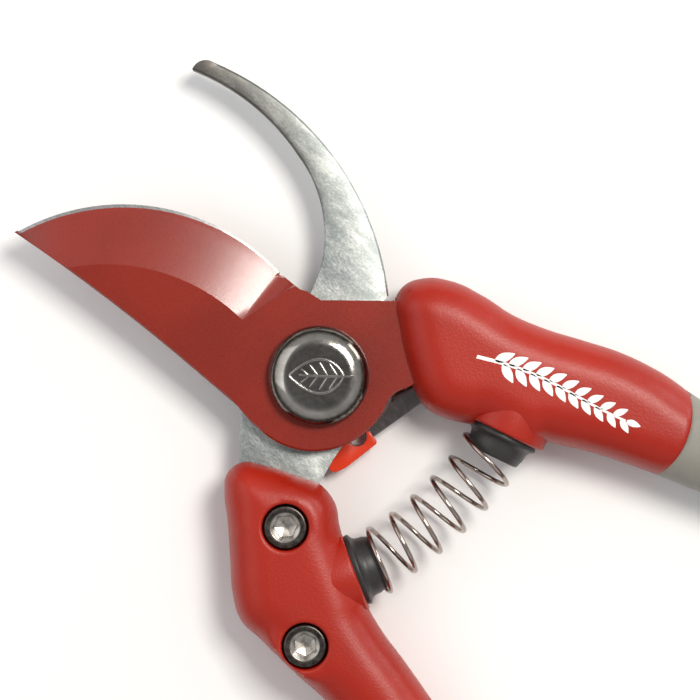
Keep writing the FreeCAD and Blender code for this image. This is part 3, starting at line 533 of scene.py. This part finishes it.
class HandleForm:
    """One handle's swelling surface, split into its cover and its sleeve where their CAD solids meet."""

    def __init__(self, cover_node, sleeve_node):
        cover = inside_on_left(even_points(section_loop(cover_node, SECTION_LEVEL), STEP * 0.5, True))
        sleeve = inside_on_left(even_points(section_loop(sleeve_node, SECTION_LEVEL), STEP * 0.5, True))
        self.cover_outer, self.joint = self.split(cover, sleeve)
        self.sleeve_outer, _ = self.split(sleeve, cover)
        self.sleeve_outer[0] = self.cover_outer[-1]
        self.sleeve_outer[-1] = self.cover_outer[0]
        self.joint = [self.cover_outer[-1]] + self.joint[1:-1] + [self.cover_outer[0]]
        self.outer = self.cover_outer + self.sleeve_outer[1:]

    @staticmethod
    def split(loop, other):
        """The part of a loop away from the other loop, and the part that lies on it, end to end."""
        near = distances(loop, other + other[:1]) < ON_JOINT
        count = len(loop)
        first = next(k for k in range(count) if near[k - 1] and not near[k])
        turned = loop[first:] + loop[:first]
        flags = list(near[first:]) + list(near[:first])
        stop = flags.index(True)
        outer = even_points(turned[:stop], STEP, False)
        return outer, even_points(turned[stop - 1:] + turned[:1], STEP, False)

    def rim_points(self, side):
        """Rings of points just inside the outline."""
        points = []
        for depth in RIM_DEPTHS:
            ring = []
            for before, here, after in zip(side, side[1:], side[2:]):
                along = (after - before).normalized()
                ring.append(here + Vector((-along.y, along.x)) * depth * MM)
            away = distances(ring, self.outer)
            points += [p for p, d in zip(ring, away) if d > 0.93 * depth * MM]
        return points

    def field(self, loop):
        """Points in even rows across the face, away from its outline."""
        lows = [min(p[k] for p in loop) for k in (0, 1)]
        highs = [max(p[k] for p in loop) for k in (0, 1)]
        rows = int((highs[1] - lows[1]) / (GRID * TRIANGLE_ROW)) + 1
        columns = int((highs[0] - lows[0]) / GRID) + 1
        points = [Vector((lows[0] + (c + 0.5 * (r % 2)) * GRID, lows[1] + r * GRID * TRIANGLE_ROW))
                  for r in range(rows) for c in range(columns)]
        away = distances(points, self.outer)
        least = (RIM_DEPTHS[-1] + RIM_GAP) * MM
        return [p for p, d in zip(points, away) if d > least and inside(p, loop)]

    def free_points(self, side, loop, rings):
        """Every point of a face that lies on none of its borders."""
        points = self.rim_points(side) + self.field(loop)
        off_joint = distances(points, self.joint)
        points = [p for p, d in zip(points, off_joint) if d > SEAM_WIDE * 1.9]
        for recess in rings:
            reach = max(offset.length for offset in recess.outline) + RECESS_GAP
            points = [p for p in points if (p - recess.centre).length > reach]
        points += self.joint_strip(side)
        for recess in rings:
            for spread in RECESS_SPREADS:
                points += recess.ring(spread * MM)
        return points

    def surface(self, side, recesses, on_top):
        """Points, triangles and heights of one face of the piece whose outer edge is given."""
        joint = self.joint if side is self.cover_outer else self.joint[::-1]
        loop = side[:-1] + joint[:-1]
        rings = [recess for recess in recesses if recess.on_top == on_top]
        fixed, edges = [], []
        for border in [loop] + [recess.ring(0) for recess in rings]:
            base, count = len(fixed), len(border)
            edges += [(base + k, base + (k + 1) % count) for k in range(count)]
            fixed += border
        scaled = [p * IN_MM for p in fixed + self.free_points(side, loop, rings)]
        verts, _, faces = delaunay_2d_cdt(scaled, edges, [], 1, 1e-5)[:3]
        verts = [v / IN_MM for v in verts]
        keep = []
        for face in faces:
            centre = sum((verts[k] for k in face), Vector((0, 0))) / len(face)
            if inside(centre, loop) and not any(inside(centre, recess.ring(0)) for recess in rings):
                keep.append(list(face))
        return verts, keep, self.heights(verts, rings)

    def joint_strip(self, side):
        """Two rows of points along the seam between cover and sleeve."""
        strip = []
        for before, here, after in zip(self.joint, self.joint[1:], self.joint[2:]):
            along = (after - before).normalized()
            sideways = Vector((-along.y, along.x))
            if side is self.sleeve_outer:
                sideways = -sideways
            strip += [here + sideways * SEAM_WIDE, here + sideways * SEAM_WIDE * 0.5]
        away = distances(strip, self.outer)
        return [p for p, d in zip(strip, away) if d > 0.35 * MM]

    def heights(self, points, rings):
        """How far each point stands off the handle's middle level."""
        away = distances(points, self.outer)
        rise = swell(away)
        seam = np.clip(1 - distances(points, self.joint) / SEAM_WIDE, 0, 1)
        rise = rise - SEAM_DEEP * seam * np.clip(away / SEAM_FADE, 0, 1)
        for recess in rings:
            out = np.array([(p - recess.centre).length for p in points])
            share = np.clip(1 - (out - BOSS_RADIUS) / BOSS_FADE, 0, 1)
            raised = np.minimum(swell(away, BOSS_RIM), recess.rim_rise)
            rise = rise + np.maximum(raised - rise, 0) * share * share * (3 - 2 * share)
            gap = distances(points, recess.ring(0) + recess.ring(0)[:1])
            share = np.clip(1 - gap / RIM_ROUND, 0, 1)
            rise = rise - RIM_ROUND * (1 - np.sqrt(1 - share ** 2))
        return rise

    def build(self, name, side, recesses, material, replaced, body):
        """A closed piece from the two faces within one outer edge."""
        mesh = bmesh.new()
        for on_top in (True, False):
            points, faces, rise = self.surface(side, recesses, on_top)
            way = 1 if on_top else -1
            made = [mesh.verts.new((p.x, p.y, HANDLE_MIDDLE + way * h)) for p, h in zip(points, rise)]
            for face in faces:
                corners = [made[k] for k in (face if on_top else face[::-1])]
                mesh.faces.new(corners)
            for recess in recesses:
                if recess.on_top == on_top:
                    sink_recess(mesh, made, recess)
        bmesh.ops.delete(mesh, geom=[v for v in mesh.verts if not v.link_faces], context="VERTS")
        bmesh.ops.remove_doubles(mesh, verts=mesh.verts, dist=1e-6)
        borders = [edge for edge in mesh.edges if edge.is_boundary]
        bmesh.ops.holes_fill(mesh, edges=borders, sides=0)
        bmesh.ops.triangulate(mesh, faces=[face for face in mesh.faces if len(face.verts) > 4])
        bmesh.ops.recalc_face_normals(mesh, faces=mesh.faces)
        return finish_piece(mesh, name, material, body, replaced)


def sink_recess(mesh, made, recess):
    """Walls and floor of a hole whose rim is already part of the surface."""
    rim = []
    for place in recess.ring(0):
        rim.append(min(made, key=lambda v: (v.co.xy - place).length_squared))
    floor = [mesh.verts.new((v.co.x, v.co.y, recess.floor)) for v in rim]
    count = len(rim)
    for k in range(count):
        after = (k + 1) % count
        mesh.faces.new((rim[k], floor[k], floor[after], rim[after]))
    mesh.faces.new(floor)


def finish_piece(mesh, name, slot_name, body, replaced=(), smooth_angle=40.0, material=None):
    """Turn a mesh into a named piece with the material of its slot, under its body, with the CAD nodes that it
    stands for hidden.
    """
    data = bpy.data.meshes.new(name)
    mesh.to_mesh(data)
    mesh.free()
    piece = new_object(name, data)
    data.materials.append(MATERIALS[material or slot_name])
    if smooth_angle:
        data.shade_smooth()
        data.set_sharp_from_angle(angle=math.radians(smooth_angle))
    if replaced:
        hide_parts(*replaced)
    if body:
        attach(piece, body)
    return piece


def islands(node_name):
    """Centres, in plan, of a node's two solids, which lie apart along X."""
    places = sorted(((v.co.x, v.co.y) for v in frame["nodes"][node_name].data.vertices))
    cut = max(range(1, len(places)), key=lambda k: places[k][0] - places[k - 1][0])
    made = []
    for group in (places[:cut], places[cut:]):
        middles = [(min(p[k] for p in group) + max(p[k] for p in group)) / 2 for k in (0, 1)]
        made.append(Vector(middles))
    return made


COUNTERBORE = 4.55 * MM
HOOK_FLOOR = 12.25 * MM  # the counterbores' floors in the hook side's cover
NUT_INRADIUS = 4.12 * MM
NUT_TURN = math.radians(10)
NUT_FLOOR = 4.9 * MM  # the floors of every recess in the back
RIM_PROUD = 0.45 * MM  # the surface round a screw stands this far past its face
LEVER_PIN = Vector((-20.0, -14.0)) * MM
LEVER_ROOM = 4.3 * MM


def hook_recesses():
    """Counterbores for the two screws' heads, and behind them the pockets of their nuts."""
    places = islands("hook_handle_screws")
    screw_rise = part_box("hook_handle_screws")[1].z - HANDLE_MIDDLE + RIM_PROUD
    nut_rise = HANDLE_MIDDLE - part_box("hook_handle_nuts")[0].z + RIM_PROUD
    bore = circle_offsets(COUNTERBORE)
    pocket = hexagon_offsets(NUT_INRADIUS, NUT_TURN)
    tops = [Recess(place, bore, HOOK_FLOOR, True, screw_rise) for place in places]
    return tops + [Recess(place, pocket, NUT_FLOOR, False, nut_rise) for place in places]


def blade_recesses():
    """Counterbores in the back for the other two screws, and the room round the lever's pin."""
    bore = circle_offsets(COUNTERBORE)
    backs = [Recess(place, bore, NUT_FLOOR, False, HALF_THICK) for place in islands("blade_handle_screws")]
    return backs + [Recess(LEVER_PIN, circle_offsets(LEVER_ROOM), NUT_FLOOR, False, 0.0)]


def add_handles():
    """Both covers and both sleeves; the blade side's cover is given back."""
    made = {}
    for side, recesses in (("hook", hook_recesses()), ("blade", blade_recesses())):
        cover, sleeve, body = side + "_handle_cover", side + "_grip_sleeve", side + "_side"
        form = HandleForm(cover, sleeve)
        made[side] = form.build(side + "_cover_form", form.cover_outer, recesses, "cover_red", [cover], body)
        form.build(side + "_sleeve_form", form.sleeve_outer, [], "grip_grey", [sleeve], body)
    return made["blade"]


# ---- turned and wound pieces

# Each seat's foot, and the way that it faces.
SEATS = {"blade": (Vector((-35.0, -14.5)) * MM, Vector((-0.24, 0.97)).normalized()),
         "hook": (Vector((-30.1, 24.6)) * MM, Vector((-0.49, -0.87)).normalized())}
SPRING_BOW = Vector((-35.7, 2.5)) * MM  # the spring's axis bows through this point
SPRING_LIFT = 2.7 * MM  # from a seat's foot to the end of the spring's axis
SPRING_TURNS = 6.0
WIRE_RADIUS = 0.47 * MM
COIL_END_RADIUS = 6.75 * MM
COIL_MID_RADIUS = 5.9 * MM
FLARE_TURNS = 0.9  # turns at each end over which the coil widens
COIL_START = -0.17  # part of a turn
STEPS_PER_TURN = 48
WIRE_SIDES = 12


def rounded(centre, radius, first, last, steps=6):
    """Points of an arc in a profile's own plane, angles in degrees."""
    angles = [math.radians(first + (last - first) * k / steps) for k in range(steps + 1)]
    return [(centre[0] + radius * math.cos(a), centre[1] + radius * math.sin(a)) for a in angles]


def lathe(mesh, profile, frame_matrix, count=72, shape=None):
    """Turn (radius, height) points in mm about a frame's Z; shape(k, angle) may scale a ring's radius."""
    rings = []
    for number, (radius, height) in enumerate(profile):
        if radius == 0:
            rings.append([mesh.verts.new(frame_matrix @ Vector((0, 0, height * MM)))])
            continue
        rings.append([])
        for k in range(count):
            angle = math.tau * k / count
            reach = radius * MM * (shape(number, angle) if shape else 1.0)
            place = Vector((reach * math.cos(angle), reach * math.sin(angle), height * MM))
            rings[-1].append(mesh.verts.new(frame_matrix @ place))
    for low, high in zip(rings, rings[1:]):
        for k in range(count):
            after = (k + 1) % count
            corners = [low[k % len(low)], low[after % len(low)]]
            corners += [high[after % len(high)], high[k % len(high)]]
            unique = [v for number, v in enumerate(corners) if v not in corners[:number]]
            mesh.faces.new(unique)


def level_frame(point, direction):
    """A frame at the handles' middle height whose Z lies along a level direction."""
    turn = Vector((direction.x, direction.y, 0)).to_track_quat("Z", "Y").to_matrix().to_4x4()
    return Matrix.Translation((point.x, point.y, HANDLE_MIDDLE)) @ turn


def lathed_piece(name, profile, frame_matrix, material, body, replaced=(), count=72, shape=None, angle=40.0):
    """A piece turned about a frame's Z."""
    mesh = bmesh.new()
    lathe(mesh, profile, frame_matrix, count, shape)
    bmesh.ops.recalc_face_normals(mesh, faces=mesh.faces)
    return finish_piece(mesh, name, material, body, replaced, angle)


def add_seats():
    """Rubber cups with a groove for the end coil, and the red collars that they stand on."""
    profile = [(0.0, -2.0), (6.6, -2.0), (7.0, -0.2)] + rounded((6.75, 0.55), 0.45, 0, 80)
    profile += [(6.25, 1.35), (5.95, 1.9), (5.85, 2.6), (5.8, 3.3), (5.55, 3.9)]
    profile += rounded((4.75, 4.3), 0.65, 20, 90) + [(3.3, 4.95), (3.0, 4.6), (0.0, 4.6)]
    collar = [(0.0, -9.0), (8.2, -9.0), (8.55, -5.5), (8.45, -2.5)] + rounded((7.75, -0.75), 0.62, 0, 90)
    collar += [(7.0, -0.2), (0.0, -0.2)]
    for side, (point, direction) in SEATS.items():
        where = level_frame(point, direction)
        body, node = side + "_side", side + "_spring_seat"
        lathed_piece(side + "_seat_cup", profile, where, "seat_black", body, [node])
        lathed_piece(side + "_seat_collar", collar, where, "cover_red", body)


def heading(centre, point):
    return math.atan2(point.y - centre.y, point.x - centre.x)


def spring_path(ends):
    """The wire's line: wound about an arc from one end to the other by way of the bow."""
    centre, radius = circle_through(ends[0], SPRING_BOW, ends[1])
    first = heading(centre, ends[0])
    sweep = (heading(centre, ends[1]) - first) % math.tau
    if (heading(centre, SPRING_BOW) - first) % math.tau > sweep:
        sweep -= math.tau
    steps = int(SPRING_TURNS * STEPS_PER_TURN)
    path = []
    for k in range(steps + 1):
        share = k / steps
        outward = around(first + sweep * share)
        along = Vector((-outward.y, outward.x)) * math.copysign(1, sweep)
        sideways = Vector((along.y, -along.x))
        nearness = min(share, 1 - share) * SPRING_TURNS
        flare = max(0.0, 1 - nearness / FLARE_TURNS)
        reach = COIL_MID_RADIUS + (COIL_END_RADIUS - COIL_MID_RADIUS) * flare
        turn = math.tau * (SPRING_TURNS * share + COIL_START)
        level = centre + outward * radius + sideways * reach * math.cos(turn)
        path.append(Vector((level.x, level.y, HANDLE_MIDDLE + reach * math.sin(turn))))
    return path


def add_spring():
    """The opening spring, wound about an arc from one seat to the other."""
    ends = [SEATS[side][0] + SEATS[side][1] * SPRING_LIFT for side in ("hook", "blade")]
    path = spring_path(ends)
    mesh = bmesh.new()
    add_tube(mesh, path, [WIRE_RADIUS] * len(path), WIRE_SIDES)
    piece = finish_piece(mesh, "spring_coils", "spring_wire", None, ["opening_spring"], 60.0)
    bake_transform(piece)


def add_tube(mesh, path, radii, sides):
    """A closed tube along a path, without twist."""
    normal = (path[1] - path[0]).orthogonal().normalized()
    rings = []
    last = len(path) - 1
    for k, place in enumerate(path):
        along = (path[min(k + 1, last)] - path[max(k - 1, 0)]).normalized()
        normal = (normal - along * normal.dot(along)).normalized()
        across = along.cross(normal)
        rings.append([mesh.verts.new(place + (normal * math.cos(math.tau * j / sides)
                                              + across * math.sin(math.tau * j / sides)) * radii[k])
                      for j in range(sides)])
    for low, high in zip(rings, rings[1:]):
        for j in range(sides):
            after = (j + 1) % sides
            mesh.faces.new((low[j], low[after], high[after], high[j]))
    mesh.faces.new(rings[0][::-1])
    mesh.faces.new(rings[-1])


# ---- bolt and screws

# In this part, radii, heights and lengths are in mm.
BOLT_RADIUS = 9.85
HEAD_HIGH = 4.6
FACE_DOWN = 0.36  # the head's face lies this far under the leaf's top
SHANK_RADIUS = 4.5
LEAF_LENGTH = 10.6
LEAF_HALF_WIDTH = 3.3
LEAF_FOOT = 0.46  # the share of the leaf that lies behind the axis
LEAF_TURN = math.radians(39)


def add_bolt():
    """The domed head with a raised leaf, on its round shank."""
    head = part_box("pivot_bolt")
    low, top = head[0].z / MM, head[1].z / MM
    under = top - HEAD_HIGH
    profile = [(0.0, low), (SHANK_RADIUS - 0.5, low), (SHANK_RADIUS, low + 0.5), (SHANK_RADIUS, under)]
    profile += [(BOLT_RADIUS - 0.45, under)] + rounded((BOLT_RADIUS - 0.4, under + 0.4), 0.4, -90, 0, 4)
    profile += [(9.8, under + 1.5), (9.6, under + 2.12), (9.25, under + 2.70), (8.8, under + 3.18)]
    profile += [(8.2, under + 3.60), (7.5, under + 3.94), (6.8, under + 4.15), (6.2, under + 4.24)]
    profile += [(5.8, top - 0.35), (5.0, top - FACE_DOWN), (3.0, top - FACE_DOWN), (0.0, top - FACE_DOWN)]
    lathed_piece("bolt_head", profile, Matrix.Identity(4), "bolt_chrome", "blade_side", ["pivot_bolt"], 96)
    add_leaf((top - FACE_DOWN) * MM)


def add_leaf(level):
    """The leaf's rim, stem and veins as tapered ridges half sunk in the head's face."""
    mesh = bmesh.new()
    lines = [leaf_line(side) for side in (1, -1)] + [stem_line()]
    lines += [vein_line(share, side) for share in (0.24, 0.42, 0.60, 0.76) for side in (1, -1)]
    for line, thick in lines:
        path = [Vector((p.x, p.y, level)) for p in line]
        count = len(path) - 1
        radii = [thick * MM * (0.35 + 0.65 * math.sin(math.pi * (0.06 + 0.88 * k / count)) ** 0.5)
                 for k in range(count + 1)]
        add_tube(mesh, path, radii, 10)
    finish_piece(mesh, "bolt_leaf", "bolt_chrome", "blade_side", (), 50.0)


def leaf_place(share, aside):
    """A point along the leaf and to one side of its middle line, about the pivot axis."""
    place = Vector(((share - LEAF_FOOT) * LEAF_LENGTH, aside)) * MM
    place.rotate(Matrix.Rotation(LEAF_TURN, 2))
    return place


def leaf_point(share, side):
    """A point of the leaf's rim, from its foot to its tip."""
    wide = LEAF_HALF_WIDTH * math.sin(math.pi * share ** 0.82) ** 0.85 if 0 < share < 1 else 0.0
    return leaf_place(share, side * wide)


def leaf_line(side):
    return [leaf_point(k / 24, side) for k in range(25)], 0.34


def stem_line():
    shares = [-0.18 + 1.0 * k / 16 for k in range(17)]
    return [leaf_place(share, -0.5 * (share - 0.2) ** 2) for share in shares], 0.32


def vein_line(share, side):
    foot = leaf_point(share - 0.13, 0)
    rim = foot.lerp(leaf_point(share + 0.06, side), 0.80)
    return [foot.lerp(rim, k / 6) for k in range(7)], 0.22


def hexagon_reach(angle, turn=0.0):
    """How far a hexagon of inner radius one reaches at an angle."""
    folded = (angle - turn) % (math.pi / 3) - math.pi / 6
    return 1 / math.cos(folded)


def screw_profile(deep):
    """A cap screw from its shank's end to its rim, then its socket; its face is at height nought."""
    outside = [(0.0, -deep), (2.1, -deep), (2.5, -deep + 0.4), (2.5, -5.0), (4.25, -5.0)]
    outside += rounded((3.75, -0.52), 0.5, 0, 90) + [(2.95, 0.0), (2.78, -0.06)]
    return outside, [(2.0, -0.62), (2.0, -1.2), (2.0, -2.5), (1.92, -2.62), (0.0, -3.3)]


def add_screws():
    """Socket-cap screws with rounded rims, six-sided sockets and their shanks."""
    for node, on_top in (("hook_handle_screws", True), ("blade_handle_screws", False)):
        low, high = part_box(node)
        outside, socket = screw_profile(high.z / MM - low.z / MM)
        stand = Matrix.Identity(4) if on_top else Matrix.Rotation(math.pi, 4, "X")
        side = node.split("_")[0]
        for number, place in enumerate(islands(node)):
            turn = math.radians(15 + 30 * number)

            def shape(ring, angle, turn=turn):
                return hexagon_reach(angle, turn) if ring >= len(outside) else 1.0

            name = "%s_screw_%d" % (side, number + 1)
            piece = lathed_piece(name, outside + socket, stand, "dark_screw", None, [node], 72, shape, 32.0)
            piece.matrix_world = Matrix.Translation((place.x, place.y, high.z if on_top else low.z))
            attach(piece, side + "_side")


# ---- softened copies and the print

def cad_copy(node_name):
    mesh = bmesh.new()
    mesh.from_mesh(frame["nodes"][node_name].data)
    bmesh.ops.remove_doubles(mesh, verts=mesh.verts, dist=CAD_WELD)
    return mesh


def softened(node_name, width, name, angle=28.0, segments=3):
    """A copy of a CAD piece with its corners rounded."""
    mesh = cad_copy(node_name)
    bmesh.ops.dissolve_limit(mesh, angle_limit=math.radians(2.0), verts=mesh.verts, edges=mesh.edges)
    sharp = [edge for edge in mesh.edges if edge.is_manifold and edge.calc_face_angle() > math.radians(angle)]
    bmesh.ops.bevel(mesh, geom=sharp, offset=width * MM, segments=segments, profile=0.5, affect="EDGES",
                    clamp_overlap=True)
    bmesh.ops.triangulate(mesh, faces=[face for face in mesh.faces if len(face.verts) > 4])
    row = next(row for row in frame["record"]["subparts"] if row["node"] == node_name)
    bodies = frame["record"]["behaviour"]["bodies"]
    body = next(name for name, nodes in bodies.items() if node_name in nodes)
    return finish_piece(mesh, name, row["material_slot"], body, [node_name], 35.0)


RUN_OUT = [Vector((18.5, 1.2)) * MM, Vector((19.26, -9.47)) * MM]  # where the CAD's hollow turns upwards
NEAR_RUN_OUT = 0.25 * MM
HEEL_STEP = Vector((15.4, -10.57)) * MM  # on the outline, just ahead of the heel's corner
HEEL_LEVEL = 10.3 * MM
HEEL_REACH = 0.4 * MM  # a point this near to the outline along Y is on it
CRISP = math.radians(4.0)


def carry_hollow_on(mesh):
    """Take the hollow on to the heel, where it ends in a short steep rise."""
    slope = [face for face in mesh.faces if face.normal.x > 0.4 and face.normal.z > 0.3
             and max(vertex.co.x for vertex in face.verts) < RUN_OUT[1].x + 0.5 * MM]
    edges = list(dict.fromkeys(edge for face in slope for edge in face.edges))
    verts = list(dict.fromkeys(vertex for face in slope for vertex in face.verts))
    step = HEEL_STEP - RUN_OUT[0]
    bmesh.ops.bisect_plane(mesh, geom=slope + edges + verts, dist=1e-6,
                           plane_co=RUN_OUT[0].to_3d(), plane_no=(-step.y, step.x, 0))
    for vertex in mesh.verts:
        along = HEEL_STEP.x - 0.05 * MM < vertex.co.x < RUN_OUT[1].x
        if along and vertex.co.z > HEEL_LEVEL and abs(vertex.co.y - HEEL_STEP.y) < HEEL_REACH:
            vertex.co.z = HEEL_LEVEL


def add_blade():
    """A copy of the blade whose hollow runs on smoothly to the heel; its other corners stay crisp."""
    mesh = cad_copy("cutting_blade")
    carry_hollow_on(mesh)
    for face in mesh.faces:
        face.smooth = True
    for edge in mesh.edges:
        away = distances([vertex.co.xy for vertex in edge.verts], RUN_OUT)
        if edge.is_manifold:
            edge.smooth = bool(max(away) < NEAR_RUN_OUT) or edge.calc_face_angle() < CRISP
    return finish_piece(mesh, "blade_form", "blade_coat", "blade_side", ["cutting_blade"], None)


PRINT_START = Vector((-21.0, -22.6)) * MM
PRINT_END = Vector((-53.0, -33.2)) * MM
PRINT_THICK = 0.045 * MM
RAY_START = 0.01  # metres above the handles
PRINT_SUNK = 3  # the ink's underside lies this many thicknesses down
SPRIG_PAIRS = 10
SPRIG_SWAY = 0.9 * MM
LEAF_LEAN = math.radians(40)


def add_patch(mesh, on_surface, outline, columns, rows):
    """A thin closed layer on a surface; outline(s, t) places a share along it and a share across it."""
    tops, bottoms = [], []
    for c in range(columns + 1):
        for r in range(rows + 1):
            place, normal = on_surface(*outline(c / columns, r / rows * 2 - 1))
            tops.append(mesh.verts.new(place + normal * PRINT_THICK))
            bottoms.append(mesh.verts.new(place - normal * PRINT_THICK * PRINT_SUNK))
    wide = rows + 1
    for c in range(columns):
        for r in range(rows):
            corner = [c * wide + r, (c + 1) * wide + r, (c + 1) * wide + r + 1, c * wide + r + 1]
            mesh.faces.new([tops[k] for k in corner])
            mesh.faces.new([bottoms[k] for k in reversed(corner)])
    rim = [c * wide for c in range(columns + 1)] + [columns * wide + r for r in range(1, wide)]
    rim += [c * wide + rows for c in range(columns - 1, -1, -1)] + [r for r in range(rows - 1, 0, -1)]
    for a, b in zip(rim, rim[1:] + rim[:1]):
        mesh.faces.new((tops[b], tops[a], bottoms[a], bottoms[b]))


def add_print(cover):
    """A white leaf sprig printed along the top of the cutting side's cover."""
    mesh = bmesh.new()
    mesh.from_mesh(cover.data)
    tree = BVHTree.FromBMesh(mesh)
    mesh.free()
    along = PRINT_END - PRINT_START
    sideways = Vector((-along.y, along.x)).normalized()
    length = along.length
    way = along / length

    def on_surface(u, v):
        flat = PRINT_START + way * u + sideways * v
        return tree.ray_cast(Vector((flat.x, flat.y, HANDLE_TOP + RAY_START)), Vector((0, 0, -1)))[:2]

    def sway(u):
        return SPRIG_SWAY * math.sin(u / length * math.tau * 0.8)

    def stem(s, t):
        u = s * length * 0.93
        return u, sway(u) + t * (0.36 - 0.16 * s) * MM

    made = bmesh.new()
    add_patch(made, on_surface, stem, 60, 2)
    for number in range(SPRIG_PAIRS + 1):
        for side in (0,) if number == SPRIG_PAIRS else (1, -1):
            size = (4.3 - 1.2 * number / SPRIG_PAIRS) * MM
            foot = length * (0.10 + 0.83 * number / SPRIG_PAIRS) + (0.0 if side >= 0 else 1.7 * MM)

            def leaf(s, t, foot=foot, size=size, lean=side * LEAF_LEAN):
                reach = (0.07 + 0.93 * s) * size
                wide = size * 0.21 * (math.sin(math.pi * (0.03 + 0.94 * s) ** 0.8) ** 0.9) * t
                u = foot + reach * math.cos(lean) - wide * math.sin(lean)
                return u, sway(foot) + reach * math.sin(lean) + wide * math.cos(lean)

            add_patch(made, on_surface, leaf, 12, 4)
    bmesh.ops.recalc_face_normals(made, faces=made.faces)
    finish_piece(made, "cover_print", "cover_red", "blade_side", (), 60.0, "print_white")


# ---- stage

PHOTO_CENTRE = Vector((-1.4, -7.8)) * MM  # the point of the part that the view is centred on
PHOTO_WIDTH = 136.5 * MM
IMAGE_RIGHT = Vector((-0.7660, -0.6428, 0))
IMAGE_UP = Vector((0.6428, -0.7660, 0))
LENS = 150.0
SENSOR = 36.0
FOCUS_SHARE = 0.75  # of the handles' height: the level that fills the photo's width
UP = Vector((0, 0, 1))
FLOOR_REACH = 1.6
FLOOR_GAP = 0.0003
SKY = [(0.0, 0.10), (0.25, 0.22), (0.5, 0.74), (0.8, 0.54), (1.0, 0.12)]  # from straight down to straight up
# Each lamp's name, its place to the right, up the image and above the part, its two sizes, power and colour.
LAMPS = (("key", (0.33, 0.28, 0.86), (0.31, 0.31), 7.2, (1.0, 0.955, 0.89)),
         ("fill", (-0.60, 0.15, 0.55), (0.7, 0.7), 1.5, (1, 1, 1)),
         ("edge", (0.60, 0.42, 0.24), (0.30, 0.22), 1.5, (1, 1, 1)))


def add_camera():
    """The camera straight above, with its top edge turned to the photo's."""
    data = bpy.data.cameras.new("camera")
    data.lens, data.sensor_width = LENS, SENSOR
    camera = new_object("camera", data)
    distance = PHOTO_WIDTH * LENS / SENSOR
    back = IMAGE_RIGHT.cross(IMAGE_UP)
    turn = Matrix((IMAGE_RIGHT, IMAGE_UP, back)).transposed().to_4x4()
    height = HANDLE_TOP * FOCUS_SHARE + distance
    camera.matrix_world = Matrix.Translation((PHOTO_CENTRE.x, PHOTO_CENTRE.y, height)) @ turn
    data.clip_start, data.clip_end = 0.01, 20.0
    bpy.context.scene.camera = camera


def add_lamp(name, offset, size, power, colour):
    """A soft rectangular light aimed at the middle of the picture."""
    right, up_image, above = offset
    data = bpy.data.lights.new(name, "AREA")
    data.shape, data.size, data.size_y = "RECTANGLE", size[0], size[1]
    data.energy, data.color = power, colour
    lamp = new_object(name, data)
    place = PHOTO_CENTRE.to_3d() + IMAGE_RIGHT * right + IMAGE_UP * up_image + UP * above
    aim = Vector((PHOTO_CENTRE.x, PHOTO_CENTRE.y, HANDLE_MIDDLE))
    turn = (aim - place).to_track_quat("-Z", "Y").to_matrix().to_4x4()
    lamp.matrix_world = Matrix.Translation(place) @ turn


def add_floor():
    mesh = bpy.data.meshes.new("floor")
    corners = [(-1, -1), (1, -1), (1, 1), (-1, 1)]
    level = HANDLE_LOW - FLOOR_GAP
    mesh.from_pydata([(x * FLOOR_REACH, y * FLOOR_REACH, level) for x, y in corners], [], [(0, 1, 2, 3)])
    floor = new_object("floor", mesh)
    material, shader = new_material("floor")
    tint = ramp(material, noise(material, place_of(material), 3.0, 2.0), [(0.3, 0.86), (0.7, 0.90)])
    put(material, shader.inputs["Base Color"], tint)
    set_shader(material, shader, Roughness=0.85, Specular_IOR_Level=0.2)
    mesh.materials.append(material)


def add_stage():
    """A pale floor, a sky that is brightest at the horizon, and the lamps."""
    add_floor()
    world = bpy.data.worlds.new("studio")
    bpy.context.scene.world = world
    world.use_nodes = True
    where = add(world, "ShaderNodeTexCoord").outputs["Generated"]
    rise = add(world, "ShaderNodeSeparateXYZ", Vector=where).outputs["Z"]
    put(world, world.node_tree.nodes["Background"].inputs["Color"], ramp(world, rise, SKY))
    for lamp in LAMPS:
        add_lamp(*lamp)


dress_cad_nodes()
add_print(add_handles())
add_seats()
add_spring()
add_bolt()
add_screws()
add_blade()
softened("lock_thumb_pad", 0.35, "thumb_form")
softened("counter_blade", 0.30, "hook_form")
softened("lock_lever", 0.2, "lever_form")
add_stage()
bpy.context.scene.view_settings.view_transform = "Standard"
add_camera()
